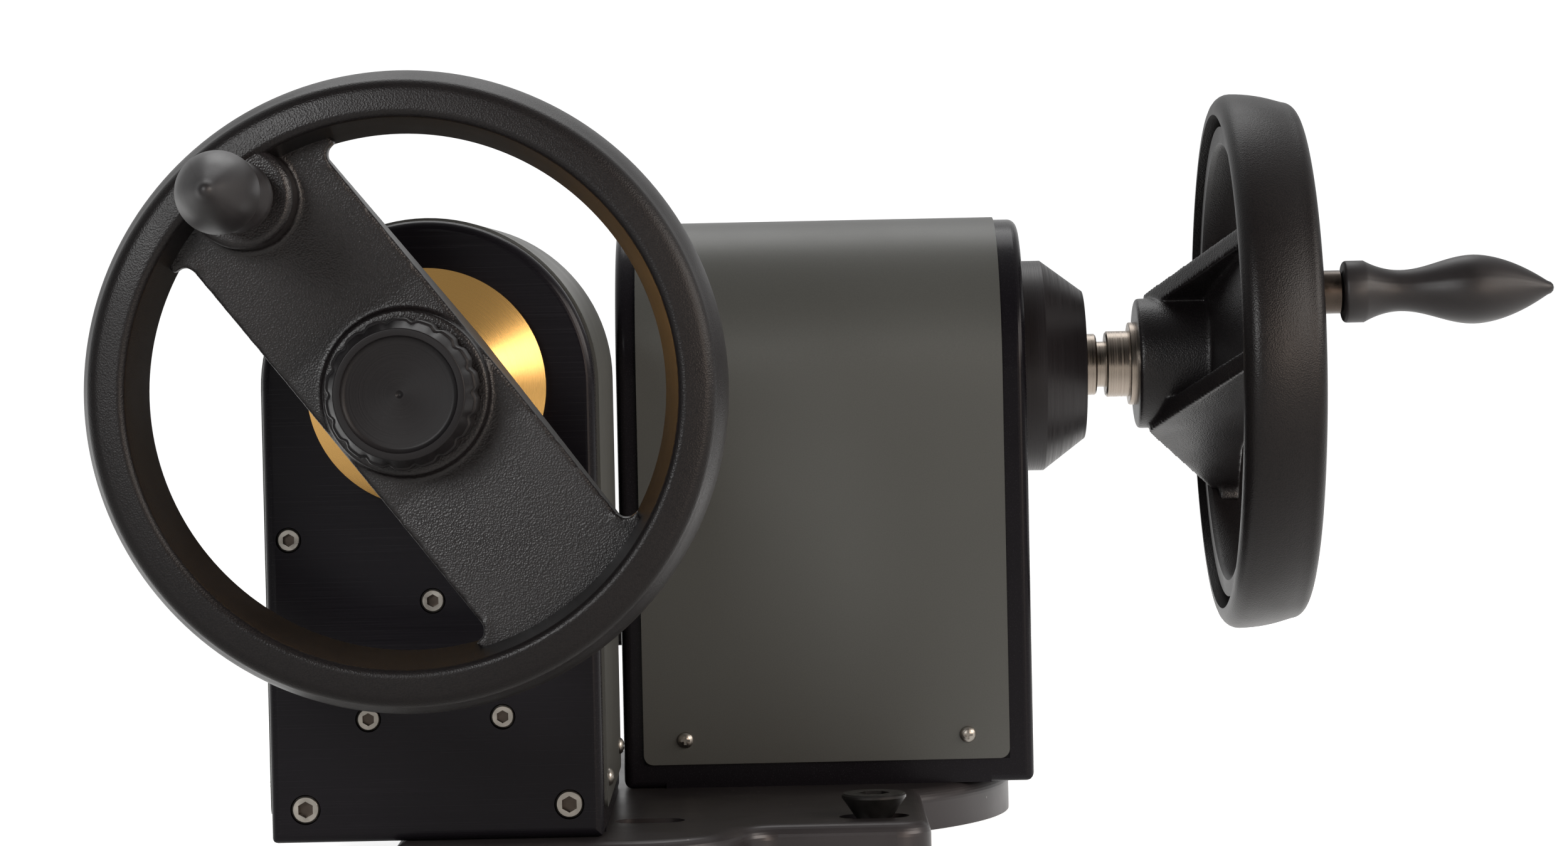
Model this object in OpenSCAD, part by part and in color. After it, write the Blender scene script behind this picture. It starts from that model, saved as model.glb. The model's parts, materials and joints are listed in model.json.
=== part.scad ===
// Two-handwheel control unit for a remote camera head.
// Two equal gearboxes stand at right angles on one base plate: the tilt unit faces
// the front (-Y) and the pan unit faces right (+X). Millimetres, +Z up.
// The origin is the centre of the base plate's disc, on its underside.

/* [Base plate] */
// Thickness of the base plate
base_t = 15; // [10:0.5:25]
// Radius of the disc under the pan unit
disc_r = 100; // [92:1:120]
// Reach of the arm past the tilt unit's axis, to the left
arm_past_axis = 15; // [12:1:40]
// Reach of the arm past the tilt unit's front face
arm_lip = 15; // [8:1:30]
// X of the arm's sweep, where its wide part ends
arm_step_x = 3; // [-5:1:10]
// Radius of the sweep from the wide part of the arm to the narrow part
arm_sweep_r = 40; // [25:1:50]
// Reach of the narrow part of the arm to the front
arm_step_front = 174; // [166:1:190]
// Reach of the arm to the right
arm_right = 65; // [63:1:80]
// Outer corner radius of the arm
arm_corner_r = 12; // [6:0.5:16]
// Fillet between the sweep and the narrow part of the arm
arm_fillet_r = 12; // [6:0.5:16]
// Rounding of the base plate's top edge
base_edge_r = 5; // [2:0.5:7]
// Width of the accessory slots
slot_w = 13; // [10:0.5:15]
// Overall length of the accessory slots
slot_l = 24; // [20:0.5:30]
// Distance of the slots in front of the disc's centre
slot_front = 153; // [146:1:157]
// Spacing of the two slots
slot_pitch = 76.5; // [70:0.5:78]
// X of the right slot
slot_right_x = 46; // [40:0.5:48]
// Radius of the central mounting thread
mount_thread_r = 4.75; // [3:0.05:6]
// Radius of the clamp bolt's head
clamp_head_r = 11; // [9.5:0.25:14]
// Height of the clamp bolt's head above the slot
clamp_head_h = 8; // [6:0.5:12]
// Straight rim of the clamp bolt's head
clamp_rim_h = 1.4; // [0.8:0.1:2]

/* [Gearbox housing] */
// X of the pan unit's front face
pan_front = 106.8; // [98:0.1:115]
// Distance of the tilt unit's front face from the disc's centre
tilt_front = 197; // [190:1:206]
// Gap between the two units
unit_gap = 1; // [0.5:0.1:5]
// Width of a gearbox, which is also the width of its arch
box_w = 110; // [106:1:120]
// Depth of a gearbox over both plates
box_depth = 149.1; // [144:0.1:170]
// Height of the shaft above the gearbox's bottom
shaft_h = 150; // [145:1:165]
// Thickness of the front plate
front_t = 15.7; // [14:0.1:20]
// Thickness of the rear plate
rear_t = 15.3; // [14:0.1:20]
// Part of the front plate's edge that the cover leaves bare
front_band = 8.8; // [6:0.1:10]
// Part of the rear plate's edge that the cover leaves bare
rear_band = 7.3; // [5:0.1:9]
// Rounding of the plates' outer edges
plate_edge_r = 3.4; // [1:0.1:5]
// Radius of the plates' bottom corners
plate_corner_r = 2.5; // [1.5:0.1:5]
// Sheet thickness of the cover
cover_t = 2; // [1.5:0.1:3]
// Height by which the cover stands proud of the plates
cover_proud = 1; // [0.4:0.1:1.2]
// Height of the cover's lower edge above the gearbox's bottom
cover_lift = 8.6; // [6:0.1:10]
// Radius of the cover's lower corners
cover_corner_r = 3.5; // [2:0.1:6]
// Thickness of the floor plate
floor_t = 22.4; // [21.5:0.1:28]

/* [Bearings and shaft] */
// Radius of the bearing boss
boss_r = 39.3; // [36:0.1:44]
// Reach of the boss in front of the plate
boss_h = 24.2; // [22:0.1:32]
// Straight foot of the tilt unit's boss
tilt_boss_foot = 6; // [3:0.1:10]
// Front radius of the tilt unit's boss
tilt_boss_nose_r = 21.5; // [20:0.1:28]
// Straight foot of the pan unit's boss
pan_boss_foot = 8.6; // [3:0.1:14]
// Front radius of the pan unit's boss
pan_boss_nose_r = 27.6; // [22:0.1:32]
// Radius of the boss's spigot in the plate
spigot_r = 24; // [21:0.1:28]
// Reach of the spigot behind the front plate
spigot_reach = 24; // [20:0.5:28]
// Outer radius of the ball bearings
bearing_r = 17.5; // [15:0.1:19]
// Width of the ball bearings
bearing_w = 10; // [8:0.1:12]
// Radius of the shaft in the bearings
journal_r = 8.5; // [7.8:0.05:10]
// Radius of the shaft's collar in front of the boss
collar_r = 11.45; // [10:0.05:13]
// Length of the bare collar
collar_l = 4.9; // [2:0.1:6]
// Length of the bare shaft between collar and bush
neck_l = 3.5; // [2:0.1:8]
// Radius of the shaft in the hub bush and the gear
seat_r = 7; // [6.5:0.05:7.5]
// Radius of the shaft's threaded end
stud_r = 6; // [5:0.05:6.2]
// Width of the drive key
key_w = 5; // [4:0.1:6]
// Length of the drive key
key_l = 28; // [20:1:34]

/* [Handwheel] */
// Outer radius of the handwheel
wheel_r = 100; // [95:0.5:110]
// Length of the bush's body between the shaft's neck and its flange
bush_l = 8.7; // [6:0.1:12]
// Outer radius of the bush's body
bush_r = 12.3; // [11:0.05:14]
// Radius of the bush's flange
flange_r = 15.45; // [14:0.05:20]
// Thickness of the bush's flange
flange_t = 2.7; // [2:0.1:4]
// Radius of the wheel's hub
hub_r = 24.3; // [20:0.1:27]
// Distance from the hub's rear end to the rim's rear face
rim_set = 30.5; // [24:0.1:36]
// Width of the rim along the shaft
rim_w = 30.5; // [26:0.1:34]
// Radial depth of the rim
rim_depth = 20; // [17:0.1:23]
// Drop of the rim's crowned outer face from back to front
rim_crown = 3.3; // [1:0.1:5]
// Width of the groove in the back of the rim
rim_groove_w = 4.5; // [3:0.1:6]
// Depth of the groove in the back of the rim
rim_groove_depth = 19; // [8:0.5:22]
// Width of the spoke across both flanges
spoke_w = 54; // [50:0.5:60]
// Thickness of the spoke's flanges
spoke_flange_t = 7.5; // [5:0.1:9]
// Thickness of the spoke's web at the rim
spoke_web_t = 6; // [4:0.1:8]
// Distance from the rim's rear face to the spoke's front face
spoke_face = 13; // [11:0.1:16]
// Height of the ring round the hub on the spoke's front face
hub_ring_h = 1.5; // [1:0.1:4]
// Radius of the ring round the hub
hub_ring_r = 26; // [24.5:0.1:27]
// Angle of the tilt wheel's handle
tilt_wheel_angle = 128; // [0:1:359]
// Angle of the pan wheel's handle
pan_wheel_angle = 161; // [0:1:359]

/* [Handle and knob] */
// Radius at which the handle stands
handle_orbit = 77.5; // [72:0.5:80]
// Radius of the boss that carries the handle
handle_boss_r = 16; // [12:0.5:18]
// Radius of the handle pin's shoulder
shoulder_r = 7.75; // [6.5:0.05:9]
// Length of the handle pin's shoulder
shoulder_l = 7.5; // [4:0.1:12]
// Radius of the spindle inside the grip
spindle_r = 4.5; // [3:0.05:5]
// Length of the grip
grip_l = 76; // [68:0.5:90]
// Largest radius of the grip
grip_r = 12.4; // [11:0.1:15]
// Radius of the grip's collar
grip_collar_r = 11.1; // [9:0.1:13]
// Length of the grip's collar
grip_collar_l = 7.5; // [5:0.1:10]
// Radius of the grip's neck
grip_neck_r = 7.4; // [6.6:0.1:9]
// Distance of the grip's neck from its foot
grip_neck_at = 20.8; // [16:0.1:24]
// Distance of the grip's belly from its foot
grip_belly_at = 47.2; // [40:0.1:55]
// Radius of the retaining knob
knob_r = 23.4; // [20:0.1:25]
// Length of the retaining knob
knob_l = 24; // [20:0.5:30]
// Length of the knob's chamfered foot
knob_foot_l = 2; // [1:0.1:4]
// Length of the knob's tapered nose
knob_nose_l = 7; // [4:0.1:10]
// Radius of the dish in the knob's face
knob_dish_r = 18; // [12:0.1:20]
// Depth of the dish in the knob's face
knob_dish_depth = 2; // [1:0.1:4]
// Number of flutes on the knob
knob_flutes = 18; // [8:1:24]
// Radius of each flute
knob_flute_r = 3.2; // [2:0.1:4]
// Depth of each flute
knob_flute_depth = 1; // [0.5:0.1:2]

/* [Gear train] */
// Gear module
gear_module = 1.5; // [1.2:0.05:1.6]
// Teeth of the gear on the shaft
gear_teeth = 45; // [36:1:48]
// Teeth of the pinion on the encoder
pinion_teeth = 15; // [14:1:18]
// Face width of the gears
gear_face = 9; // [6:0.5:12]
// Backlash taken off each tooth
backlash = 0.2; // [0.1:0.01:0.3]
// Thickness of the gear plate that carries the encoder
gear_plate_t = 6; // [5:0.5:10]
// Distance of the gear plate behind the shaft's tail
gear_plate_gap = 5.8; // [3:0.1:10]
// Gap between the gear plate and the side rods
gear_plate_clear = 4.3; // [2:0.1:8]
// Radius of the encoder's case
encoder_r = 20; // [17:0.5:20.5]
// Length of the encoder's case
encoder_l = 42; // [30:1:48]
// Radius of the encoder's shaft
encoder_shaft_r = 3; // [2.5:0.05:4]

/* [Fasteners and connector] */
// Head radius of the screws into the spacer rods
rod_head_r = 3.95; // [3.5:0.05:4.5]
// Head height of the screws into the spacer rods
rod_head_h = 5; // [3:0.1:6]
// Shank radius of the screws into the spacer rods
rod_shank_r = 2.4; // [1.5:0.05:3]
// Radius of the spacer rods
rod_r = 4.75; // [4:0.05:6]
// Head radius of the screws into the floor plate
floor_head_r = 4.7; // [4:0.05:5.5]
// Head height of the screws into the floor plate
floor_head_h = 6; // [4:0.1:8]
// Shank radius of the screws into the floor plate
floor_shank_r = 3.1; // [2:0.05:3.5]
// Thread engagement of all screws in plates and rods
grip_in_metal = 12; // [8:0.5:14]
// Head radius of the cover's screws
cover_head_r = 3; // [2:0.05:4]
// Head height of the cover's screws
cover_head_h = 1.9; // [1:0.05:2.5]
// Shank radius of the cover's screws
cover_shank_r = 1.6; // [1:0.05:2]
// Depth of the cover's screws in the floor plate
cover_screw_l = 7; // [4:0.5:8]
// Radius of the signal socket's shell
socket_r = 10; // [8:0.1:12]
// Reach of the signal socket behind the rear plate
socket_reach = 14; // [8:0.5:20]
// Size of the signal socket's square flange
socket_flange = 26; // [23:0.5:32]

/* [Hidden] */
$fn = 96;
// Running clearance of shafts and pins, on the radius
run_gap = 0.05;
// Clearance between faces that turn past each other
turn_gap = 0.4;
// Clearance of screws in through holes and counterbores, on the radius
hole_gap = 0.3;
// Clearance of threads and pressed seats, on the radius
seat_gap = 0.03;
// Clearance between the cover and what it wraps
sheet_gap = 0.05;
// Recess of screw heads below the face that they are let into
head_recess = 0.2;
// Small edge break on turned pieces
edge_break = 0.6;
// Extra length of cutting shapes
cut = 1;
// Overlap of shapes that are drawn together as one piece
join = 0.01;

// Layout of the units on the base plate
half_w = box_w / 2;
tilt_x = pan_front - box_depth - unit_gap - cover_proud - half_w;
arm_left = tilt_x - arm_past_axis;
arm_front = tilt_front + arm_lip;
sweep_c = [arm_step_x - arm_sweep_r, arm_sweep_r - arm_front];
base_lap = 2;
slot_places = [[slot_right_x - slot_pitch, -slot_front], [slot_right_x, -slot_front]];

// Stations along a unit's shaft, outwards from its front face
room_front = -front_t;
room_rear = -(box_depth - rear_t);
bearing_recess = 1;
spigot_end = room_front - spigot_reach;
collar_start = boss_h - bearing_recess + turn_gap;
collar_end = boss_h + collar_l;
bush_start = collar_end + neck_l;
hub_start = bush_start + bush_l + flange_t;
rim_back = hub_start + rim_set;
rim_front = rim_back + rim_w;
face_front = rim_back + spoke_face;
ring_front = face_front + hub_ring_h;
knob_back = ring_front + turn_gap;
knob_front = knob_back + knob_l;
knob_floor_t = 6;
stud_end = knob_front - knob_dish_depth - knob_floor_t;
handle_seat_drop = 0.5;
handle_seat = rim_front - handle_seat_drop;
grip_start = handle_seat + shoulder_l + turn_gap;

// Cover and its rebate in the plates
cover_in = half_w + cover_proud - cover_t;
cover_front = -front_band - sheet_gap;
cover_rear = -(box_depth - rear_band) + sheet_gap;
rebate_half = cover_in - sheet_gap;

// Wheel rim and spokes
rim_inner_r = wheel_r - rim_depth;
rim_back_round = 6;
rim_front_round = 5;
rim_ridge_round = 2.5;
rim_lip_set = 2.5;
rim_draft = 4.5;
rim_wall = 7.5;
rim_blend = 0.8;
rim_lip_draft = 0.4;
rim_lip_round = 2;
groove_draft = 0.7;
sleeve_step = 0.3;
sleeve_r = bush_r - sleeve_step;
bush_set = 1;
spoke_ridge_set = 4.3;
spoke_ridge = hub_start + spoke_ridge_set;
spoke_ridge_half = 2;
spoke_rib = 0.5;
spoke_foot = face_front - spoke_web_t - spoke_rib;
spoke_corner_r = 3;
spoke_seat = 1.6;
spoke_bite = 3;
web_root_t = 17;
web_root = face_front - web_root_t;
key_set = 2;
key_depth = 3;
key_rise = 2.2;
handle_hole_r = 5;
handle_hole_l = 18;
handle_boss_l = 22;
handle_pin_clear = 0.5;

// Handle spindle with its snap head, and the grip's rounded ends
spindle_l = 38;
snap_step = 1;
snap_r = spindle_r + snap_step;
snap_l = 4;
snap_clear = 1.5;
grip_foot_round = 1.5;
grip_tip_r = 2.6;
grip_tip_l = 2.5;

// Retaining knob
knob_foot_in = 3.4;
knob_chamfer = 0.9;
knob_land = 1.8;
knob_lip = 0.5;
knob_dish_wall = 1;
knob_mark_r = 1.2;
knob_thread_over = 1;

// Gear train
pressure_angle = 20;
tooth_root = 0.2;
pitch_r = gear_module * gear_teeth / 2;
pinion_pitch_r = gear_module * pinion_teeth / 2;
gear_distance = pitch_r + pinion_pitch_r;
addendum = 0.8 * gear_module;
dedendum = 1.05 * gear_module;
gear_hub_r = 13;
gear_hub_front = spigot_end + bearing_recess - turn_gap;
gear_set = 2;
gear_front = spigot_end - gear_set;
gear_back = gear_front - gear_face;
gear_hub_step = 1;
gear_hub_back = gear_back - gear_hub_step;
gear_holes = 6;
pinion_extra = 1;
pinion_hub_r = 7;
clip_t = 1.2;
clip_r = 10.5;
clip_groove_depth = 0.8;
clip_groove_r = seat_r - clip_groove_depth;
clip_mouth = 1;
tail_l = 3;
shaft_tail = gear_hub_back - clip_t - tail_l;
gear_plate_front = shaft_tail - gear_plate_gap;
gear_plate_back = gear_plate_front - gear_plate_t;
encoder_z = shaft_h - gear_distance;
encoder_back = gear_plate_back - encoder_l;
encoder_pilot_r = 11;
encoder_flange_t = 3.5;
encoder_waist_l = 2.5;
encoder_waist_depth = 1.2;
encoder_shaft_in = 16;
gland_r = 4.5;
gland_l = 6;
lead_r = 2.5;
lead_bend = 9;
lead_inset = 10;
lead_x = encoder_back + lead_inset;

// Places of screws and rods on the plates, as [y, z] from the foot of the centre line
side_rod_inset = 7.9;
side_rod_drop = 49.5;
side_rods = [for (s = [-1, 1]) [s * (half_w - side_rod_inset), shaft_h - side_rod_drop]];
gear_plate_half = half_w - side_rod_inset - rod_r - gear_plate_clear;
gear_plate_margin = 10;
gear_plate_top = 1;
gear_plate_corner_r = 8;
carrier_low_y = 22.2;
carrier_low_z = 40.7;
carrier_gap = 1.5;
carrier_rods = [[0, encoder_z - encoder_r - rod_head_r - carrier_gap],
    [-carrier_low_y, carrier_low_z], [carrier_low_y, carrier_low_z]];
floor_screw_inset = 11.4;
floor_screw_places = [for (s = [-1, 1]) [s * (half_w - floor_screw_inset), floor_t / 2]];
socket_drop = 43;
socket_z = encoder_z - socket_drop;
cover_screw_z = 17.5;
cover_screw_inset = 15.2;
cover_screw_x = [-(front_band + cover_screw_inset), -(box_depth - rear_band - cover_screw_inset)];
cross_w = 0.9;
base_screw_inset = 35;
base_screw_x = [-base_screw_inset, -(box_depth - base_screw_inset)];
base_screw_grip = 11;
pan_base_screw_half = 30;
pan_base_screw_y = [-pan_base_screw_half, pan_base_screw_half];
tilt_base_screw_edge = 11;
tilt_base_screw_in = 36;
tilt_base_screw_y = [tilt_base_screw_edge - arm_past_axis, tilt_base_screw_in];
boss_screw_inset = 7.8;
boss_screw_circle_r = boss_r - boss_screw_inset;
boss_screw_places = [for (a = [45:90:315])
    [boss_screw_circle_r * cos(a), shaft_h + boss_screw_circle_r * sin(a)]];
boss_head_r = 4;
boss_head_h = 4.5;
boss_shank_r = 2.4;
boss_grip = 5;
boss_hole_over = 0.5;

// Ball bearings
bearing_land = 2.5;
bearing_ring = 2.5;
shield_set = 0.9;
shield_lap = 0.1;

// Clamp bolt
clamp_tip_gap = 1.5;
clamp_chamfer = 0.7;
clamp_play = 0.3;
clamp_hex_depth = 5;

// Signal socket
socket_flange_t = 3;
socket_wall = 1.8;
socket_tail_r = 7;
socket_tail_l = 9;
socket_flange_corner_r = 2;

// Colours
c_black = "#1d1b1e";
c_plastic = "#1f1e1f";
c_cover = "#565955";
c_gold = "#c59a48";
c_steel = "#b0a598";
c_nickel = "#8f8c88";
c_brass = "#b08d4a";
c_alloy = "#9a9ca0";

// Points on an arc round c, from angle a0 to a1
function arc(c, r, a0, a1, n = 8) =
    [for (i = [0:n]) let (a = a0 + (a1 - a0) * i / n) c + r * [cos(a), sin(a)]];

// Smooth step from 0 to 1
function ease(t) = (1 - cos(180 * t)) / 2;

// Involute function in degrees
function inv(a) = tan(a) * 180 / PI - a;

// Half angle of a gear tooth at radius r
function tooth_half(teeth, r) =
    let (p = gear_module * teeth / 2, b = p * cos(pressure_angle))
    90 / teeth - backlash / 2 / p * 180 / PI + inv(pressure_angle)
        - inv(acos(b / max(r, b)));

// Outline of a spur gear with its first tooth on the first axis
function gear_points(teeth) =
    let (p = gear_module * teeth / 2, foot = p - dedendum, tip = p + addendum,
        first = max(p * cos(pressure_angle), foot + tooth_root),
        radii = [foot, for (i = [0:3]) first + (tip - first) * i / 3], last = len(radii) - 1)
    [for (k = [0:teeth - 1], side = [-1, 1], i = [0:last])
        let (r = radii[side < 0 ? i : last - i],
            a = 360 * k / teeth + side * tooth_half(teeth, r))
        r * [cos(a), sin(a)]];

// Turns a profile of [radius, x] points about the X axis
module turned(points) {
    rotate([0, 90, 0]) rotate_extrude() polygon(points);
}

// Round bar along the X axis
module bar_x(r, x0, x1) {
    translate([x0, 0, 0]) rotate([0, 90, 0]) cylinder(r = r, h = x1 - x0);
}

// Tube along the X axis
module tube_x(r, bore, x0, x1) {
    difference() {
        bar_x(r, x0, x1);
        bar_x(bore, x0 - cut, x1 + cut);
    }
}

// Extrudes a [y, z] outline along the X axis
module slab_x(x0, x1) {
    translate([x0, 0, 0]) rotate([90, 0, 90]) linear_extrude(x1 - x0) children();
}

// Extrudes an [x, z] outline across the Y axis
module slab_y(half) {
    rotate([90, 0, 0]) linear_extrude(2 * half, center = true) children();
}

// Rectangle with round corners, centred on the origin
module rounded_rect(w, h, r) {
    square([w - 2 * r, h], center = true);
    square([w, h - 2 * r], center = true);
    for (x = [-1, 1], y = [-1, 1]) translate([x * (w / 2 - r), y * (h / 2 - r)]) circle(r);
}

// Copies its children to each [y, z] place
module at_places(places) {
    for (p = places) translate([0, p[0], p[1]]) children();
}

// Socket head screw along X, with the top of its head on x = 0 and its shank towards -X
module socket_screw(head_r, head_h, shank_r, shank_l) {
    difference() {
        union() {
            turned([[0, -head_h], [head_r, -head_h], [head_r, -edge_break],
                [head_r - edge_break, 0], [0, 0]]);
            bar_x(shank_r, -head_h - shank_l, -head_h + join);
        }
        translate([-head_h * 0.6, 0, 0]) rotate([0, 90, 0])
            cylinder(r = shank_r * 0.9, h = head_h, $fn = 6);
    }
}

// Counterbored hole for a socket screw that is let into a face on x = 0
module screw_hole(head_r, head_h, shank_r, depth) {
    bar_x(head_r + hole_gap, -head_h - head_recess, cut);
    bar_x(shank_r + hole_gap, -depth - cut, 0);
}

// Places a piece of the tilt unit. Units are drawn with the front face on x = 0, the shaft
// along +X and the bottom on z = 0
module at_tilt() {
    translate([tilt_x, -tilt_front, base_t]) rotate([0, 0, -90]) children();
}

// Places a piece of the pan unit
module at_pan() {
    translate([pan_front, 0, base_t]) children();
}

// Places a turning piece on a unit's shaft
module on_shaft(angle = 0) {
    translate([0, 0, shaft_h]) rotate([angle, 0, 0]) children();
}

// Places a piece at the handle's orbit
module on_handle() {
    translate([0, handle_orbit, 0]) children();
}

// Section of the base plate's rounded edge: outer edge on 0, reaching inwards by depth
function edge_section(depth) = let (e = base_edge_r)
    concat([[depth, 0], [0, 0]], arc([e, base_t - e], e, 180, 90), [[depth, base_t]]);

// Round stretch of the base plate's edge about c, from angle a0 to a1
module base_turn(c, r, a0, a1) {
    translate([c[0], c[1], 0]) rotate([0, 0, a0]) rotate_extrude(angle = a1 - a0)
        polygon([for (q = edge_section(arm_corner_r)) [r - q[0], q[1]]]);
}

// Straight stretch of the base plate's edge from p to q, with the plate on its left
module base_edge(p, q) {
    d = q - p;
    translate([p[0], p[1], 0]) rotate([0, 0, atan2(d[1], d[0])])
        slab_x(0, norm(d)) polygon(edge_section(arm_corner_r));
}

// Hollow stretch of the base plate's edge, of radius r about c, from angle a0 to a1
module base_hollow(c, r, a0, a1) {
    translate([c[0], c[1], 0]) rotate([0, 0, a0]) rotate_extrude(angle = a1 - a0)
        polygon([for (q = edge_section(arm_corner_r)) [r + q[0], q[1]]]);
}

// Arm of the base plate: a chain of edge stretches round a flat middle
module base_arm() {
    c = arm_corner_r;
    f = arm_fillet_r;
    drop = arm_sweep_r + f + arm_step_front - arm_front;
    run = sqrt(pow(arm_sweep_r + f, 2) - pow(drop, 2));
    lean = atan2(drop, run);
    fillet_c = [sweep_c[0] + run, -arm_step_front - f];
    front_left = [arm_left + c, c - arm_front];
    back_left = [arm_left + c, -half_w];
    front_right = [arm_right - c, c - arm_step_front];
    base_turn(back_left, c, 90, 180);
    base_edge([arm_left, back_left[1]], [arm_left, front_left[1]]);
    base_turn(front_left, c, 180, 270);
    base_edge([front_left[0], -arm_front], [sweep_c[0], -arm_front]);
    base_turn(sweep_c, arm_sweep_r, 270, 360 - lean);
    base_hollow(fillet_c, f, 90, 180 - lean);
    base_edge([fillet_c[0], -arm_step_front], [front_right[0], -arm_step_front]);
    base_turn(front_right, c, 270, 360);
    base_edge([arm_right, front_right[1]], [arm_right, -half_w]);
    base_edge([-half_w, c - half_w], [back_left[0], c - half_w]);
    linear_extrude(base_t) polygon(concat([back_left, front_left],
        arc(sweep_c, arm_sweep_r - c + base_lap, 270, 360 - lean),
        arc(fillet_c, f + c - base_lap, 180 - lean, 90),
        [front_right, [arm_right - c, -half_w], [-half_w, -half_w]]));
}

// Base plate's body: the disc round its central thread, and the arm
module base_body() {
    rotate_extrude() polygon([for (q = edge_section(disc_r - mount_thread_r)) [disc_r - q[0], q[1]]]);
    base_arm();
}

// Places of the base screws, as [x, y]
function base_screw_places() = concat(
    [for (a = base_screw_x, y = pan_base_screw_y) [pan_front + a, y]],
    [for (a = base_screw_x, y = tilt_base_screw_y) [tilt_x + y, -tilt_front - a]]);

// Base plate with its slots, central thread and counterbores
module base_plate() {
    color(c_black) difference() {
        base_body();
        for (p = slot_places) translate([p[0], p[1], -cut]) linear_extrude(base_t + 2 * cut)
            rounded_rect(slot_l, slot_w, slot_w / 2 - join);
        for (p = base_screw_places()) translate([p[0], p[1], 0]) rotate([0, 90, 0])
            screw_hole(floor_head_r, floor_head_h, floor_shank_r, base_t);
    }
}

// Countersunk bolt that rests with its cone on the edges of the right slot
module clamp_bolt() {
    neck = slot_w / 2 - seat_gap;
    shank = neck - clamp_play;
    tip = clamp_tip_gap - base_t;
    cone = clamp_head_h - clamp_rim_h;
    color(c_black) translate([slot_right_x, -slot_front, base_t]) difference() {
        rotate_extrude() polygon([[0, tip], [shank - clamp_chamfer, tip],
            [shank, tip + clamp_chamfer], [shank, -clamp_play], [neck, 0], [clamp_head_r, cone],
            [clamp_head_r, clamp_head_h - edge_break], [clamp_head_r - edge_break, clamp_head_h],
            [0, clamp_head_h]]);
        translate([0, 0, clamp_head_h - clamp_hex_depth])
            cylinder(r = clamp_head_r / 2, h = clamp_hex_depth + cut, $fn = 6);
    }
}

// Screws from under the base plate into both floor plates
module base_screws() {
    color(c_nickel) for (p = base_screw_places()) translate([p[0], p[1], head_recess])
        rotate([0, 90, 0]) socket_screw(floor_head_r, floor_head_h, floor_shank_r,
            base_t - floor_head_h - head_recess + base_screw_grip);
}

// Arched outline in [y, z] with a half width and a bottom corner radius
module arch_outline(half, corner) {
    translate([0, shaft_h]) intersection() {
        circle(half);
        translate([-half, 0]) square([2 * half, half]);
    }
    translate([-half, corner]) square([2 * half, shaft_h - corner]);
    translate([-half + corner, 0]) square([2 * (half - corner), corner]);
    for (s = [-1, 1]) translate([s * (half - corner), corner]) circle(corner);
}

// Arched plate from x = 0 back to x = -t, with its front edge rounded over
module rounded_plate(t) {
    e = plate_edge_r;
    intersection() {
        union() {
            translate([0, 0, shaft_h]) rotate([0, 90, 0]) rotate([0, 0, 90])
                rotate_extrude(angle = 180)
                    polygon(concat([[0, -t], [half_w, -t]], arc([half_w - e, -e], e, 0, 90), [[0, 0]]));
            linear_extrude(shaft_h) polygon(concat([[-t, -half_w]],
                arc([-e, -half_w + e], e, 270, 360), arc([-e, half_w - e], e, 0, 90), [[-t, half_w]]));
        }
        slab_x(-t, 0) arch_outline(half_w, plate_corner_r);
        slab_y(box_w) polygon(concat([[-t, 0]], arc([-e, e], e, 270, 360),
            [[0, shaft_h + box_w], [-t, shaft_h + box_w]]));
    }
}

// What the rebate for the cover takes off a plate, from x0 to x1
module cover_rebate(x0, x1) {
    slab_x(x0, x1) difference() {
        translate([-box_w, cover_lift - sheet_gap]) square([2 * box_w, shaft_h + box_w]);
        arch_outline(rebate_half, plate_corner_r);
    }
}

// Front plate with the boss's seat and the sunk screw holes
module unit_front_plate() {
    difference() {
        rounded_plate(front_t);
        cover_rebate(-front_t - cut, -front_band);
        on_shaft() bar_x(spigot_r + seat_gap, -front_t - cut, cut);
        at_places(concat(side_rods, carrier_rods))
            screw_hole(rod_head_r, rod_head_h, rod_shank_r, front_t);
        at_places(floor_screw_places)
            screw_hole(floor_head_r, floor_head_h, floor_shank_r, front_t);
        at_places(boss_screw_places) translate([-front_t, 0, 0]) mirror([1, 0, 0])
            screw_hole(boss_head_r, boss_head_h, boss_shank_r, front_t);
    }
}

// Rear plate with the hole for the signal socket
module unit_rear_plate() {
    translate([-box_depth, 0, 0]) mirror([1, 0, 0]) difference() {
        rounded_plate(rear_t);
        cover_rebate(-rear_t - cut, -rear_band);
        at_places(side_rods) screw_hole(rod_head_r, rod_head_h, rod_shank_r, rear_t);
        at_places(floor_screw_places)
            screw_hole(floor_head_r, floor_head_h, floor_shank_r, rear_t);
        translate([0, 0, socket_z]) bar_x(socket_r + seat_gap, -rear_t - cut, cut);
    }
}

// Floor plate between the two end plates
module unit_floor_plate(base_screw_y) {
    ledge = cover_lift - sheet_gap;
    difference() {
        slab_x(room_rear, room_front) polygon([[-half_w, 0], [half_w, 0], [half_w, ledge],
            [rebate_half, ledge], [rebate_half, floor_t], [-rebate_half, floor_t],
            [-rebate_half, ledge], [-half_w, ledge]]);
        at_places(floor_screw_places) {
            bar_x(floor_shank_r + seat_gap, room_front - grip_in_metal - cut, room_front + cut);
            bar_x(floor_shank_r + seat_gap, room_rear - cut, room_rear + grip_in_metal + cut);
        }
        for (x = cover_screw_x, s = [0, 1]) mirror([0, s, 0]) translate([x, 0, cover_screw_z])
            rotate([-90, 0, 0]) translate([0, 0, cover_in - cover_screw_l - cut])
                cylinder(r = cover_shank_r + seat_gap, h = cover_screw_l + 2 * cut);
        for (x = base_screw_x, y = base_screw_y) translate([x, y, -cut])
            cylinder(r = floor_shank_r + seat_gap, h = base_screw_grip + 2 * cut);
    }
}

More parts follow.
